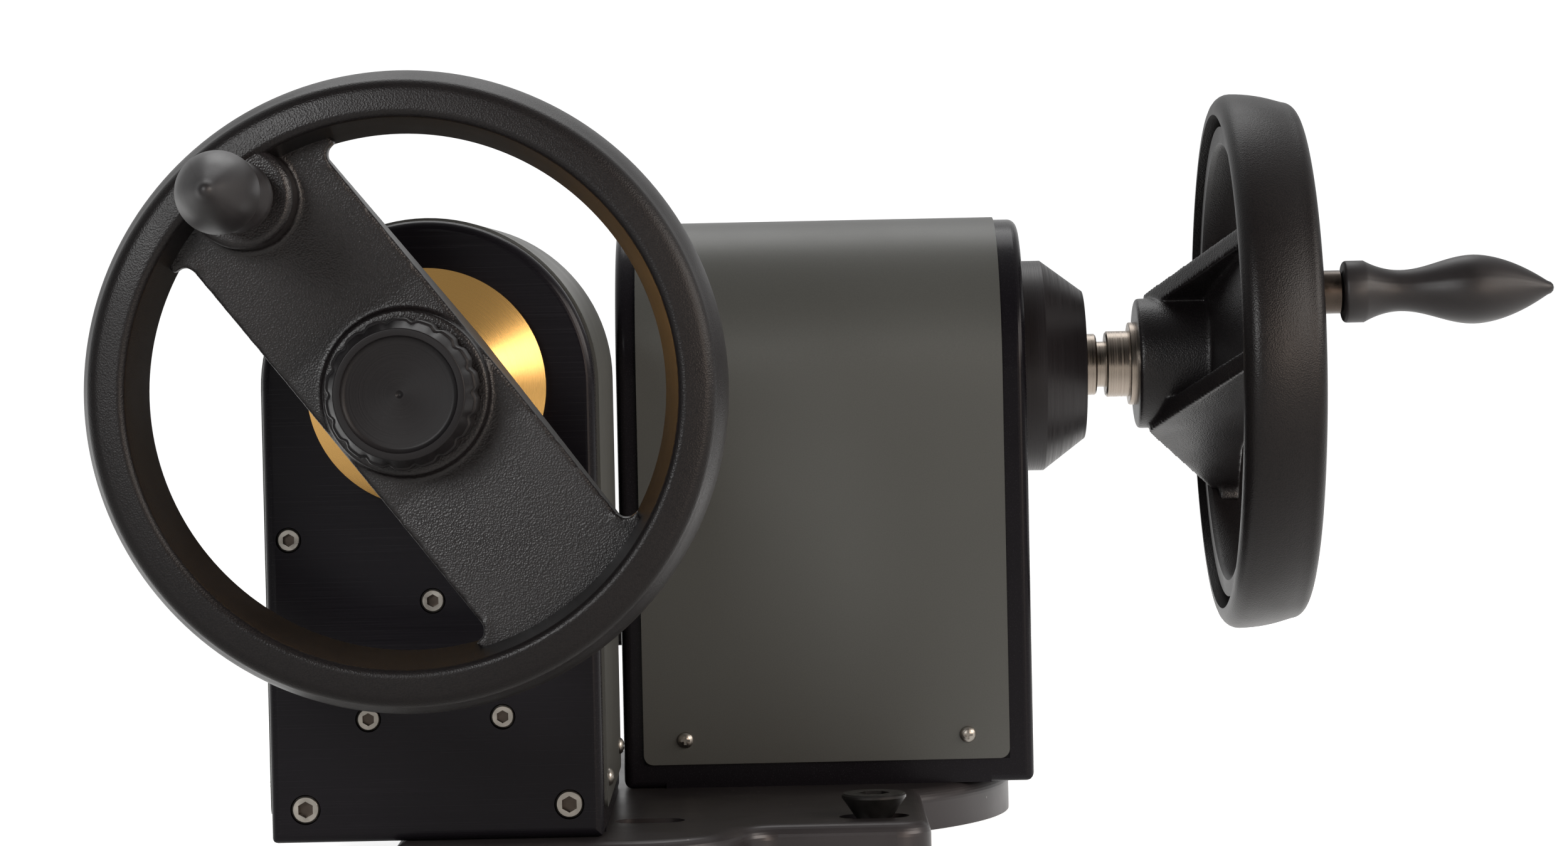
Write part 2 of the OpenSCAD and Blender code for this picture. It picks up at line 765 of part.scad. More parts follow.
// Sheet cover wrapped over the arch, with round lower corners
module unit_cover() {
    difference() {
        slab_x(cover_rear, cover_front) difference() {
            arch_outline(half_w + cover_proud, plate_corner_r);
            arch_outline(cover_in, plate_corner_r);
            translate([-box_w, -cut]) square([2 * box_w, cover_lift + cut]);
        }
        slab_y(box_w) for (end = [[cover_front, -1], [cover_rear, 1]])
            translate([end[0], cover_lift]) difference() {
                square(2 * cover_corner_r, center = true);
                translate([end[1] * cover_corner_r, cover_corner_r]) circle(cover_corner_r);
                translate([end[1] * cover_corner_r - cover_corner_r, cover_corner_r])
                    square([2 * cover_corner_r, cover_corner_r]);
            }
        for (x = cover_screw_x) translate([x, 0, cover_screw_z]) rotate([90, 0, 0])
            cylinder(r = cover_shank_r + hole_gap, h = 2 * box_w, center = true);
    }
}

// Turned boss with the seats of both bearings
module unit_bearing_boss(foot, nose_r) {
    land = bearing_r - bearing_land;
    front_seat = boss_h - bearing_recess - bearing_w;
    rear_seat = spigot_end + bearing_recess + bearing_w;
    difference() {
        on_shaft() turned([[land, rear_seat], [bearing_r, rear_seat], [bearing_r, spigot_end],
            [spigot_r, spigot_end], [spigot_r, 0], [boss_r, 0], [boss_r, foot],
            [nose_r, boss_h], [bearing_r, boss_h], [bearing_r, front_seat], [land, front_seat]]);
        at_places(boss_screw_places) bar_x(boss_shank_r + seat_gap, -cut, boss_grip + boss_hole_over);
    }
}

// Ball bearing: two rings and the shield between them
module unit_bearing(x0) {
    bore = journal_r + run_gap;
    on_shaft() {
        tube_x(bore + bearing_ring, bore, x0, x0 + bearing_w);
        tube_x(bearing_r - seat_gap, bearing_r - bearing_ring, x0, x0 + bearing_w);
        tube_x(bearing_r - bearing_ring + shield_lap, bore + bearing_ring - shield_lap,
            x0 + shield_set, x0 + bearing_w - shield_set);
    }
}

// Spacer rods: two from plate to plate and three that carry the gear plate
module unit_spacer_rods() {
    difference() {
        union() {
            at_places(side_rods) bar_x(rod_r, room_rear, room_front);
            at_places(carrier_rods) bar_x(rod_r, gear_plate_front, room_front);
        }
        at_places(concat(side_rods, carrier_rods))
            bar_x(rod_shank_r + seat_gap, room_front - grip_in_metal - cut, room_front + cut);
        at_places(side_rods)
            bar_x(rod_shank_r + seat_gap, room_rear - cut, room_rear + grip_in_metal + cut);
        at_places(carrier_rods) bar_x(rod_shank_r + seat_gap, gear_plate_front - cut,
            gear_plate_front + grip_in_metal + cut);
    }
}

// Screws of the spacer rods, in the front plate and the rear plate
module unit_rod_screws() {
    at_places(concat(side_rods, carrier_rods)) translate([-head_recess, 0, 0])
        socket_screw(rod_head_r, rod_head_h, rod_shank_r,
            front_t - rod_head_h - head_recess + grip_in_metal);
    at_places(side_rods) translate([-box_depth + head_recess, 0, 0]) mirror([1, 0, 0])
        socket_screw(rod_head_r, rod_head_h, rod_shank_r,
            rear_t - rod_head_h - head_recess + grip_in_metal);
}

// Screws of both end plates into the floor plate
module unit_floor_screws() {
    at_places(floor_screw_places) translate([-head_recess, 0, 0])
        socket_screw(floor_head_r, floor_head_h, floor_shank_r,
            front_t - floor_head_h - head_recess + grip_in_metal);
    at_places(floor_screw_places) translate([-box_depth + head_recess, 0, 0]) mirror([1, 0, 0])
        socket_screw(floor_head_r, floor_head_h, floor_shank_r,
            rear_t - floor_head_h - head_recess + grip_in_metal);
}

// Pan-head screws of the cover, with a cross in each domed head
module unit_cover_screws() {
    for (x = cover_screw_x, s = [0, 1]) mirror([0, s, 0]) translate([x, 0, cover_screw_z])
        rotate([-90, 0, 0]) translate([0, 0, half_w + cover_proud]) difference() {
            union() {
                rotate_extrude() polygon(concat([[0, 0], [cover_head_r, 0]],
                    [for (a = [10:16:90]) [cover_head_r * cos(a), cover_head_h * sin(a)]]));
                translate([0, 0, -cover_t - cover_screw_l])
                    cylinder(r = cover_shank_r, h = cover_t + cover_screw_l + join);
            }
            for (a = [0, 90]) rotate(a) translate([0, 0, cover_head_h])
                cube([cover_head_r * 1.1, cross_w, cover_head_h], center = true);
        }
}

// Screws of the boss, from behind the front plate
module unit_boss_screws() {
    at_places(boss_screw_places) translate([-front_t + head_recess, 0, 0]) mirror([1, 0, 0])
        socket_screw(boss_head_r, boss_head_h, boss_shank_r,
            front_t - boss_head_h - head_recess + boss_grip);
}

// Gear plate that carries the encoder on three spacer rods
module unit_gear_plate() {
    low = carrier_low_z - gear_plate_margin;
    high = encoder_z + encoder_r + gear_plate_top;
    difference() {
        slab_x(gear_plate_back, gear_plate_front) translate([0, (low + high) / 2])
            rounded_rect(2 * gear_plate_half, high - low, gear_plate_corner_r);
        at_places(carrier_rods)
            bar_x(rod_shank_r + hole_gap, gear_plate_back - cut, gear_plate_front + cut);
        translate([0, 0, encoder_z])
            bar_x(encoder_pilot_r + seat_gap, gear_plate_back - cut, gear_plate_front + cut);
    }
}

// Screws that hold the gear plate on its rods
module unit_gear_plate_screws() {
    at_places(carrier_rods) translate([gear_plate_back - rod_head_h, 0, 0]) mirror([1, 0, 0])
        socket_screw(rod_head_r, rod_head_h, rod_shank_r, gear_plate_t + grip_in_metal);
}

// Encoder with its pilot in the gear plate, its bore and its cable gland
module unit_encoder() {
    waist_r = encoder_r - encoder_waist_depth;
    waist_front = gear_plate_back - encoder_flange_t;
    waist_back = waist_front - encoder_waist_l;
    translate([0, 0, encoder_z]) difference() {
        union() {
            turned([[0, encoder_back], [encoder_r - edge_break, encoder_back],
                [encoder_r, encoder_back + edge_break], [encoder_r, waist_back],
                [waist_r, waist_back], [waist_r, waist_front],
                [encoder_r, waist_front], [encoder_r, gear_plate_back],
                [encoder_pilot_r, gear_plate_back], [encoder_pilot_r, gear_plate_front],
                [0, gear_plate_front]]);
            translate([lead_x, 0, -encoder_r - gland_l])
                cylinder(r = gland_r, h = encoder_r + gland_l);
        }
        bar_x(encoder_shaft_r + run_gap, gear_plate_back - encoder_shaft_in - cut,
            gear_plate_front + cut);
    }
}

// Lead from the encoder's gland down and back to the signal socket
module unit_signal_lead() {
    top = encoder_z - encoder_r - gland_l;
    bend_z = socket_z + lead_bend;
    translate([lead_x, 0, bend_z]) cylinder(r = lead_r, h = top - bend_z);
    translate([lead_x - lead_bend, 0, bend_z]) rotate([90, 0, 0]) rotate([0, 0, -90])
        rotate_extrude(angle = 90) translate([lead_bend, 0]) circle(lead_r);
    translate([0, 0, socket_z]) bar_x(lead_r, room_rear + socket_tail_l, lead_x - lead_bend);
}

// Signal socket: square flange, round shell round the insert's face, and a solder tail
module unit_signal_socket() {
    back = -box_depth;
    mouth = back - socket_reach;
    translate([0, 0, socket_z]) difference() {
        union() {
            slab_x(back - socket_flange_t, back)
                rounded_rect(socket_flange, socket_flange, socket_flange_corner_r);
            bar_x(socket_r, mouth, room_rear);
            bar_x(socket_tail_r, room_rear - join, room_rear + socket_tail_l);
        }
        bar_x(socket_r - socket_wall, mouth - cut, back - socket_flange_t);
    }
}

// Shaft with its journals, collar, neck, seats, keyway and threaded end
module unit_drive_shaft() {
    stud_start = ring_front - bush_set;
    on_shaft() difference() {
        turned([[0, shaft_tail], [seat_r - edge_break, shaft_tail], [seat_r, shaft_tail + edge_break],
            [seat_r, gear_hub_back - clip_t], [clip_groove_r, gear_hub_back - clip_t],
            [clip_groove_r, gear_hub_back], [seat_r, gear_hub_back], [seat_r, gear_hub_front],
            [journal_r, gear_hub_front], [journal_r, collar_start], [collar_r, collar_start],
            [collar_r, collar_end - edge_break], [collar_r - edge_break, collar_end],
            [journal_r, collar_end], [journal_r, bush_start], [seat_r, bush_start],
            [seat_r, stud_start], [stud_r, stud_start], [stud_r, stud_end - edge_break],
            [stud_r - edge_break, stud_end], [0, stud_end]]);
        drive_keyway(seat_r - key_depth, seat_r + cut, seat_gap);
    }
}

// Box of the drive key between two heights, grown by a clearance
module drive_keyway(z0, z1, gap) {
    start = hub_start + key_set;
    translate([start - gap, -key_w / 2 - gap, z0 - gap])
        cube([key_l + 2 * gap, key_w + 2 * gap, z1 - z0 + 2 * gap]);
}

// Key between shaft and bush
module unit_drive_key() {
    on_shaft() drive_keyway(seat_r - key_depth, seat_r + key_rise, 0);
}

// Gear on the shaft, with its hub and lightening holes
module unit_drive_gear() {
    hole_r = (pitch_r - dedendum - gear_hub_r) * 0.3;
    on_shaft() difference() {
        union() {
            slab_x(gear_back, gear_front) rotate(-90) polygon(gear_points(gear_teeth));
            bar_x(gear_hub_r, gear_hub_back, gear_hub_front);
        }
        bar_x(seat_r + seat_gap, gear_hub_back - cut, gear_hub_front + cut);
        for (k = [0:gear_holes - 1]) rotate([360 * (k + 0.5) / gear_holes, 0, 0])
            translate([0, (pitch_r - dedendum + gear_hub_r) / 2, 0])
                bar_x(hole_r, gear_back - cut, gear_front + cut);
    }
}

// Retaining clip behind the gear
module unit_gear_clip() {
    on_shaft() difference() {
        tube_x(clip_r, clip_groove_r + seat_gap, gear_hub_back - clip_t + seat_gap, gear_hub_back);
        translate([gear_hub_back, 0, -clip_r])
            cube([3 * clip_t, 2 * (clip_groove_r - clip_mouth), clip_r], center = true);
    }
}

// Flanged bush in the wheel's hub
module unit_hub_bush() {
    bore = seat_r + seat_gap;
    bush_front = ring_front - bush_set;
    on_shaft() difference() {
        turned([[bore, bush_start], [bush_r - edge_break, bush_start],
            [bush_r, bush_start + edge_break], [bush_r, hub_start - flange_t],
            [flange_r - edge_break / 2, hub_start - flange_t],
            [flange_r, hub_start - flange_t + edge_break / 2], [flange_r, hub_start],
            [sleeve_r, hub_start], [sleeve_r, bush_front], [bore, bush_front]]);
        drive_keyway(0, seat_r + key_rise, seat_gap);
    }
}

// Section of the wheel's rim as [radius, x]
function rim_section() =
    let (back_c = [wheel_r - rim_back_round, rim_back + rim_back_round],
        crown_end = rim_front - rim_front_round,
        crown_l = crown_end - back_c[1],
        front_r = wheel_r - rim_crown,
        front_c = [front_r - rim_front_round - rim_blend, crown_end],
        ridge_r = rim_inner_r + rim_draft,
        ridge_c = [ridge_r + rim_ridge_round, rim_front - rim_ridge_round - rim_blend],
        lip = rim_back + rim_lip_set,
        groove_out = wheel_r - rim_wall,
        groove_in = groove_out - rim_groove_w,
        floor_x = rim_back + rim_groove_depth)
    concat([[groove_out, rim_back]],
        arc(back_c, rim_back_round, -90, 0),
        [for (i = [1:9]) [wheel_r - rim_crown * pow(i / 10, 2), back_c[1] + crown_l * i / 10]],
        arc(front_c, front_r - front_c[0], 6, 90),
        arc(ridge_c, rim_ridge_round, 95, 190),
        [[rim_inner_r + rim_lip_draft, lip + rim_lip_round], [rim_inner_r + rim_lip_round, lip]],
        [[groove_in, lip], [groove_in + groove_draft, floor_x], [groove_out - groove_draft, floor_x]]);

// Outline of the spoke in [y, z], with fillets where it meets the rim
module spoke_outline() {
    half = spoke_w / 2;
    c = spoke_corner_r;
    wall = rim_inner_r + spoke_seat;
    mid = sqrt(pow(wall - c, 2) - pow(half + c, 2));
    lean = atan2(half + c, mid);
    end = wall + spoke_bite;
    quarter = concat([[0, 0], [0, half]], arc([mid, half + c], c, 270, 360 + lean, 6),
        [end * [cos(lean), sin(lean)], [end, 0]]);
    for (a = [1, -1], b = [1, -1]) scale([a, b]) polygon(quarter);
}

// Spoke: a dished web between two flanges whose backs rise from the hub to the rim
module wheel_spoke() {
    pocket = spoke_w - 2 * spoke_flange_t;
    far = rim_inner_r + spoke_bite;
    ridge = spoke_ridge_half;
    difference() {
        intersection() {
            slab_x(spoke_ridge, face_front) spoke_outline();
            linear_extrude(2 * wheel_r, center = true) polygon([[face_front, -far], [face_front, far],
                [spoke_foot, far], [spoke_ridge, ridge], [spoke_ridge, -ridge], [spoke_foot, -far]]);
        }
        intersection() {
            translate([hub_start, -wheel_r, -pocket / 2]) cube([wheel_r, 2 * wheel_r, pocket]);
            turned([[0, hub_start], [wheel_r, hub_start], [wheel_r, face_front - spoke_web_t],
                [rim_inner_r, face_front - spoke_web_t], [hub_r, web_root], [0, web_root]]);
        }
    }
}

// Handwheel: deep grooved rim, two flanged spokes, hub, hub ring and handle boss
module unit_handwheel(angle) {
    on_shaft(angle) difference() {
        union() {
            turned(rim_section());
            wheel_spoke();
            bar_x(hub_r, hub_start, face_front);
            turned([[0, face_front - cut], [hub_ring_r, face_front - cut],
                [hub_ring_r, ring_front - edge_break], [hub_ring_r - edge_break, ring_front],
                [0, ring_front]]);
            on_handle() bar_x(handle_boss_r, handle_seat - handle_boss_l, handle_seat);
        }
        bar_x(sleeve_r + seat_gap, hub_start - cut, ring_front + cut);
        on_handle() bar_x(handle_hole_r + seat_gap, handle_seat - handle_hole_l, handle_seat + cut);
    }
}

// Handle pin: stud in the wheel, shoulder, spindle and snap head
module unit_handle_pin(angle) {
    foot = handle_seat - handle_hole_l + handle_pin_clear;
    shoulder = handle_seat + shoulder_l;
    tip = shoulder + spindle_l;
    on_shaft(angle) on_handle() turned([[0, foot], [handle_hole_r, foot], [handle_hole_r, handle_seat],
        [shoulder_r, handle_seat], [shoulder_r, shoulder - edge_break],
        [shoulder_r - edge_break, shoulder], [spindle_r, shoulder], [spindle_r, tip],
        [snap_r, tip], [spindle_r, tip + snap_l], [0, tip + snap_l]]);
}

// Outer profile of the grip as [radius, distance from its foot]
function grip_profile() =
    let (tip_at = grip_l - grip_tip_l, foot = grip_foot_round)
    concat(arc([grip_collar_r - foot, foot], foot, 270, 360, 4),
        [for (i = [0:7]) [grip_neck_r + (grip_collar_r - grip_neck_r) * pow(1 - i / 8, 2),
            grip_collar_l + (grip_neck_at - grip_collar_l) * i / 8]],
        [for (i = [0:12]) [grip_neck_r + (grip_r - grip_neck_r) * ease(i / 12),
            grip_neck_at + (grip_belly_at - grip_neck_at) * i / 12]],
        [for (i = [1:10]) [grip_r - (grip_r - grip_tip_r) * pow(i / 10, 1.8),
            grip_belly_at + (tip_at - grip_belly_at) * i / 10]],
        [[grip_tip_r * 0.7, grip_l - grip_tip_l * 0.3], [0, grip_l]]);

// Revolving grip with a blind bore and a chamber for the snap head
module unit_grip(angle) {
    bore = shoulder_l + handle_seat + spindle_l - grip_start;
    chamber = bore + snap_l + snap_clear;
    on_shaft(angle) on_handle() translate([grip_start, 0, 0]) difference() {
        turned(concat([[0, 0]], grip_profile()));
        bar_x(spindle_r + run_gap, -cut, bore);
        bar_x(snap_r + hole_gap, bore - turn_gap, chamber);
    }
}

// Retaining knob with a fluted band, a tapered nose, a turned dish and a blind thread
module unit_retaining_knob() {
    band_end = knob_l - knob_nose_l;
    dish_floor = knob_l - knob_dish_depth;
    land_r = knob_dish_r + knob_land;
    on_shaft() translate([knob_back, 0, 0]) difference() {
        turned([[0, 0], [knob_r - knob_foot_in, 0], [knob_r, knob_foot_l],
            [knob_r, band_end - knob_chamfer], [knob_r - knob_chamfer, band_end],
            [land_r + knob_lip, knob_l - knob_lip], [land_r, knob_l], [knob_dish_r, knob_l],
            [knob_dish_r - knob_dish_wall, dish_floor], [knob_mark_r, dish_floor],
            [0, dish_floor - knob_mark_r]]);
        for (k = [0:knob_flutes - 1]) rotate([360 * k / knob_flutes, 0, 0])
            translate([0, knob_r + knob_flute_r - knob_flute_depth, 0])
                bar_x(knob_flute_r, -cut, band_end + cut);
        bar_x(stud_r + run_gap, -cut, stud_end - knob_back + knob_thread_over);
    }
}

// Pinion with its hub and the encoder's shaft
module unit_encoder_pinion() {
    translate([0, 0, encoder_z]) {
        slab_x(gear_back - pinion_extra, gear_front + pinion_extra)
            rotate(90 + 180 / pinion_teeth) polygon(gear_points(pinion_teeth));
        bar_x(pinion_hub_r, gear_plate_front + turn_gap, gear_back);
        bar_x(encoder_shaft_r, gear_plate_back - encoder_shaft_in, gear_back);
    }
}

// Pieces of the two units, each in its place and colour
module tilt_front_plate() {
    color(c_black) at_tilt() unit_front_plate();
}

module tilt_rear_plate() {
    color(c_black) at_tilt() unit_rear_plate();
}

module tilt_floor_plate() {
    color(c_black) at_tilt() unit_floor_plate(tilt_base_screw_y);
}

module tilt_cover() {
    color(c_cover) at_tilt() unit_cover();
}

module tilt_bearing_boss() {
    color(c_gold) at_tilt() unit_bearing_boss(tilt_boss_foot, tilt_boss_nose_r);
}

module tilt_boss_screws() {
    color(c_nickel) at_tilt() unit_boss_screws();
}

module tilt_front_bearing() {
    color(c_steel) at_tilt() unit_bearing(boss_h - bearing_recess - bearing_w);
}

module tilt_rear_bearing() {
    color(c_steel) at_tilt() unit_bearing(spigot_end + bearing_recess);
}

module tilt_spacer_rods() {
    color(c_alloy) at_tilt() unit_spacer_rods();
}

module tilt_rod_screws() {
    color(c_nickel) at_tilt() unit_rod_screws();
}

module tilt_floor_screws() {
    color(c_nickel) at_tilt() unit_floor_screws();
}

module tilt_cover_screws() {
    color(c_nickel) at_tilt() unit_cover_screws();
}

module tilt_gear_plate() {
    color(c_alloy) at_tilt() unit_gear_plate();
}

module tilt_gear_plate_screws() {
    color(c_nickel) at_tilt() unit_gear_plate_screws();
}

module tilt_encoder() {
    color(c_alloy) at_tilt() unit_encoder();
}

module tilt_signal_lead() {
    color(c_plastic) at_tilt() unit_signal_lead();
}

module tilt_signal_socket() {
    color(c_nickel) at_tilt() unit_signal_socket();
}

module tilt_drive_shaft() {
    color(c_steel) at_tilt() unit_drive_shaft();
}

module tilt_drive_gear() {
    color(c_steel) at_tilt() unit_drive_gear();
}

module tilt_gear_clip() {
    color(c_steel) at_tilt() unit_gear_clip();
}

module tilt_drive_key() {
    color(c_steel) at_tilt() unit_drive_key();
}

module tilt_hub_bush() {
    color(c_steel) at_tilt() unit_hub_bush();
}

module tilt_handwheel() {
    color(c_plastic) at_tilt() unit_handwheel(tilt_wheel_angle);
}

module tilt_handle_pin() {
    color(c_steel) at_tilt() unit_handle_pin(tilt_wheel_angle);
}

module tilt_grip() {
    color(c_plastic) at_tilt() unit_grip(tilt_wheel_angle);
}

module tilt_retaining_knob() {
    color(c_plastic) at_tilt() unit_retaining_knob();
}

module tilt_encoder_pinion() {
    color(c_brass) at_tilt() unit_encoder_pinion();
}

module pan_front_plate() {
    color(c_black) at_pan() unit_front_plate();
}

module pan_rear_plate() {
    color(c_black) at_pan() unit_rear_plate();
}

module pan_floor_plate() {
    color(c_black) at_pan() unit_floor_plate(pan_base_screw_y);
}

module pan_cover() {
    color(c_cover) at_pan() unit_cover();
}

module pan_bearing_boss() {
    color(c_black) at_pan() unit_bearing_boss(pan_boss_foot, pan_boss_nose_r);
}

module pan_boss_screws() {
    color(c_nickel) at_pan() unit_boss_screws();
}

module pan_front_bearing() {
    color(c_steel) at_pan() unit_bearing(boss_h - bearing_recess - bearing_w);
}

module pan_rear_bearing() {
    color(c_steel) at_pan() unit_bearing(spigot_end + bearing_recess);
}

module pan_spacer_rods() {
    color(c_alloy) at_pan() unit_spacer_rods();
}

module pan_rod_screws() {
    color(c_nickel) at_pan() unit_rod_screws();
}

module pan_floor_screws() {
    color(c_nickel) at_pan() unit_floor_screws();
}

module pan_cover_screws() {
    color(c_nickel) at_pan() unit_cover_screws();
}

module pan_gear_plate() {
    color(c_alloy) at_pan() unit_gear_plate();
}

module pan_gear_plate_screws() {
    color(c_nickel) at_pan() unit_gear_plate_screws();
}

module pan_encoder() {
    color(c_alloy) at_pan() unit_encoder();
}

module pan_signal_lead() {
    color(c_plastic) at_pan() unit_signal_lead();
}

module pan_signal_socket() {
    color(c_nickel) at_pan() unit_signal_socket();
}

module pan_drive_shaft() {
    color(c_steel) at_pan() unit_drive_shaft();
}

module pan_drive_gear() {
    color(c_steel) at_pan() unit_drive_gear();
}

module pan_gear_clip() {
    color(c_steel) at_pan() unit_gear_clip();
}

module pan_drive_key() {
    color(c_steel) at_pan() unit_drive_key();
}

module pan_hub_bush() {
    color(c_steel) at_pan() unit_hub_bush();
}

module pan_handwheel() {
    color(c_plastic) at_pan() unit_handwheel(pan_wheel_angle);
}

module pan_handle_pin() {
    color(c_steel) at_pan() unit_handle_pin(pan_wheel_angle);
}

module pan_grip() {
    color(c_plastic) at_pan() unit_grip(pan_wheel_angle);
}

module pan_retaining_knob() {
    color(c_plastic) at_pan() unit_retaining_knob();
}

module pan_encoder_pinion() {
    color(c_brass) at_pan() unit_encoder_pinion();
}

base_plate();
clamp_bolt();
base_screws();
tilt_front_plate();
tilt_rear_plate();
tilt_floor_plate();
tilt_cover();
tilt_bearing_boss();
tilt_boss_screws();
tilt_front_bearing();
tilt_rear_bearing();
tilt_spacer_rods();
tilt_rod_screws();
tilt_floor_screws();
tilt_cover_screws();
tilt_gear_plate();
tilt_gear_plate_screws();
tilt_encoder();
tilt_signal_lead();
tilt_signal_socket();
tilt_drive_shaft();
tilt_drive_gear();
tilt_gear_clip();
tilt_drive_key();
tilt_hub_bush();
tilt_handwheel();
tilt_handle_pin();
tilt_grip();
tilt_retaining_knob();
tilt_encoder_pinion();
pan_front_plate();
pan_rear_plate();
pan_floor_plate();
pan_cover();
pan_bearing_boss();
pan_boss_screws();
pan_front_bearing();
pan_rear_bearing();
pan_spacer_rods();
pan_rod_screws();
pan_floor_screws();
pan_cover_screws();
pan_gear_plate();
pan_gear_plate_screws();
pan_encoder();
pan_signal_lead();
pan_signal_socket();
pan_drive_shaft();
pan_drive_gear();
pan_gear_clip();
pan_drive_key();
pan_hub_bush();
pan_handwheel();
pan_handle_pin();
pan_grip();
pan_retaining_knob();
pan_encoder_pinion();
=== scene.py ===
"""Two-handwheel control unit of a remote camera head, dressed for rendering.

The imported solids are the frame. Moulded and turned pieces whose edges are softer than
the solids' are modelled here, and every surface gets a procedural finish.
"""
import json
import logging
import math
from dataclasses import dataclass
from enum import Enum
from typing import Any, Callable, Optional, Sequence, Union

import bmesh
import bpy
from mathutils import Matrix, Vector


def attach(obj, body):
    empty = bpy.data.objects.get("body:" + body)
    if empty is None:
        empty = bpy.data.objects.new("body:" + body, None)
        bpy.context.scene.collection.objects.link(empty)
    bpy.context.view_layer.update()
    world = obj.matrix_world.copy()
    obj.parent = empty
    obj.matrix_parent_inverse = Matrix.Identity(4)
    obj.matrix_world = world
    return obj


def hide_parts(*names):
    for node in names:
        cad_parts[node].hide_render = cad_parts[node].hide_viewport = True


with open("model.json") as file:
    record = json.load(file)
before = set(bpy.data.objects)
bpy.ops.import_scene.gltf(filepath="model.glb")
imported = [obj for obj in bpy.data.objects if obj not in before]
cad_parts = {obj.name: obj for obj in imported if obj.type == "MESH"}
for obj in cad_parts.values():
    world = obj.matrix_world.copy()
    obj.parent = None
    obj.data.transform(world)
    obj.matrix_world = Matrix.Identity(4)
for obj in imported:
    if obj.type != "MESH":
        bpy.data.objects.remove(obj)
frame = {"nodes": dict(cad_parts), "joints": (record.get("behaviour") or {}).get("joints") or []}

LOG = logging.getLogger("control_unit")
MM = 0.001
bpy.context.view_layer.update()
JOINTS = {joint["name"]: joint for joint in frame["joints"]}

Point2 = tuple[float, float]
Point3 = tuple[float, float, float]
Verts = list[bmesh.types.BMVert]
Node = bpy.types.Node
NodeTree = bpy.types.NodeTree
Socket = bpy.types.NodeSocket
Material = bpy.types.Material
Object = bpy.types.Object

ORIGIN = (0.0, 0.0, 0.0)
BOTH = (-1, 1)
WHITE = "#ffffff"


class Unit(Enum):
    """The two gearboxes of the control unit."""

    TILT = "tilt"
    PAN = "pan"


class Axis(Enum):
    """An axis of the frame, or of a form under construction."""

    X = 0
    Y = 1
    Z = 2


# Placing


@dataclass(frozen=True)
class Place:
    """Where a unit's shaft stands, as its joints say."""

    unit: Unit

    def node(self, piece: str) -> str:
        """Name of one of the unit's CAD nodes, bodies or joints."""
        return f"{self.unit.value}_{piece}"

    def spot(self, joint: str) -> Point3:
        """Point of the frame on the axis of one of the unit's joints."""
        return tuple(JOINTS[self.node(joint)]["pos_m"])

    def along(self) -> Axis:
        """Axis of the frame that the shaft lies along."""
        return Axis.Y if self.unit is Unit.TILT else Axis.X

    def shaft(self, turn: float = 0.0) -> Matrix:
        """Matrix from millimetres along the shaft to the frame.

        Args:
            turn: angle about the shaft, in radians.

        Returns:
            A matrix whose x points out along the shaft from the front plate's face.
        """
        axis = JOINTS[self.node("wheel_spin")]["axis"]
        heading = Matrix.Rotation(math.atan2(axis[1], axis[0]), 4, "Z")
        turned = Matrix.Rotation(turn, 4, "X")
        return Matrix.Translation(self.spot("wheel_spin")) @ heading @ turned @ Matrix.Scale(MM, 4)

    def handle(self) -> Point2:
        """Handle's angle round the shaft in radians, and its orbit in millimetres."""
        local = self.shaft().inverted() @ Vector(self.spot("grip_spin"))
        return math.atan2(local.z, local.y), math.hypot(local.y, local.z)


# Modelling

WELD_MM = 1e-4  # vertices of a form that are closer than this are one


def arc(centre: Point2, radius: float, start: float, end: float, chords: int = 6) -> list[Point2]:
    """Points on an arc.

    Args:
        centre: middle of the arc.
        radius: its radius.
        start: first angle in degrees.
        end: last angle in degrees.
        chords: number of chords.

    Returns:
        The points in order.
    """
    angles = [math.radians(start + (end - start) * k / chords) for k in range(chords + 1)]
    return [(centre[0] + radius * math.cos(a), centre[1] + radius * math.sin(a)) for a in angles]


def ease(t: float) -> float:
    """Smooth step from 0 to 1."""
    return (1.0 - math.cos(math.pi * t)) / 2.0


def swell(first: Point2, last: Point2, shape: Callable[[float], float], chords: int) -> list[Point2]:
    """Points of a profile whose radius changes along a curve.

    Args:
        first: radius and x where it starts.
        last: radius and x where it ends.
        shape: share of the change in radius, from 0 to 1, at a share of the length.
        chords: number of chords.

    Returns:
        The points in order, without the first.
    """
    (r, x), (end_r, end_x) = first, last
    shares = [k / chords for k in range(1, chords + 1)]
    return [(r + (end_r - r) * shape(t), x + (end_x - x) * t) for t in shares]


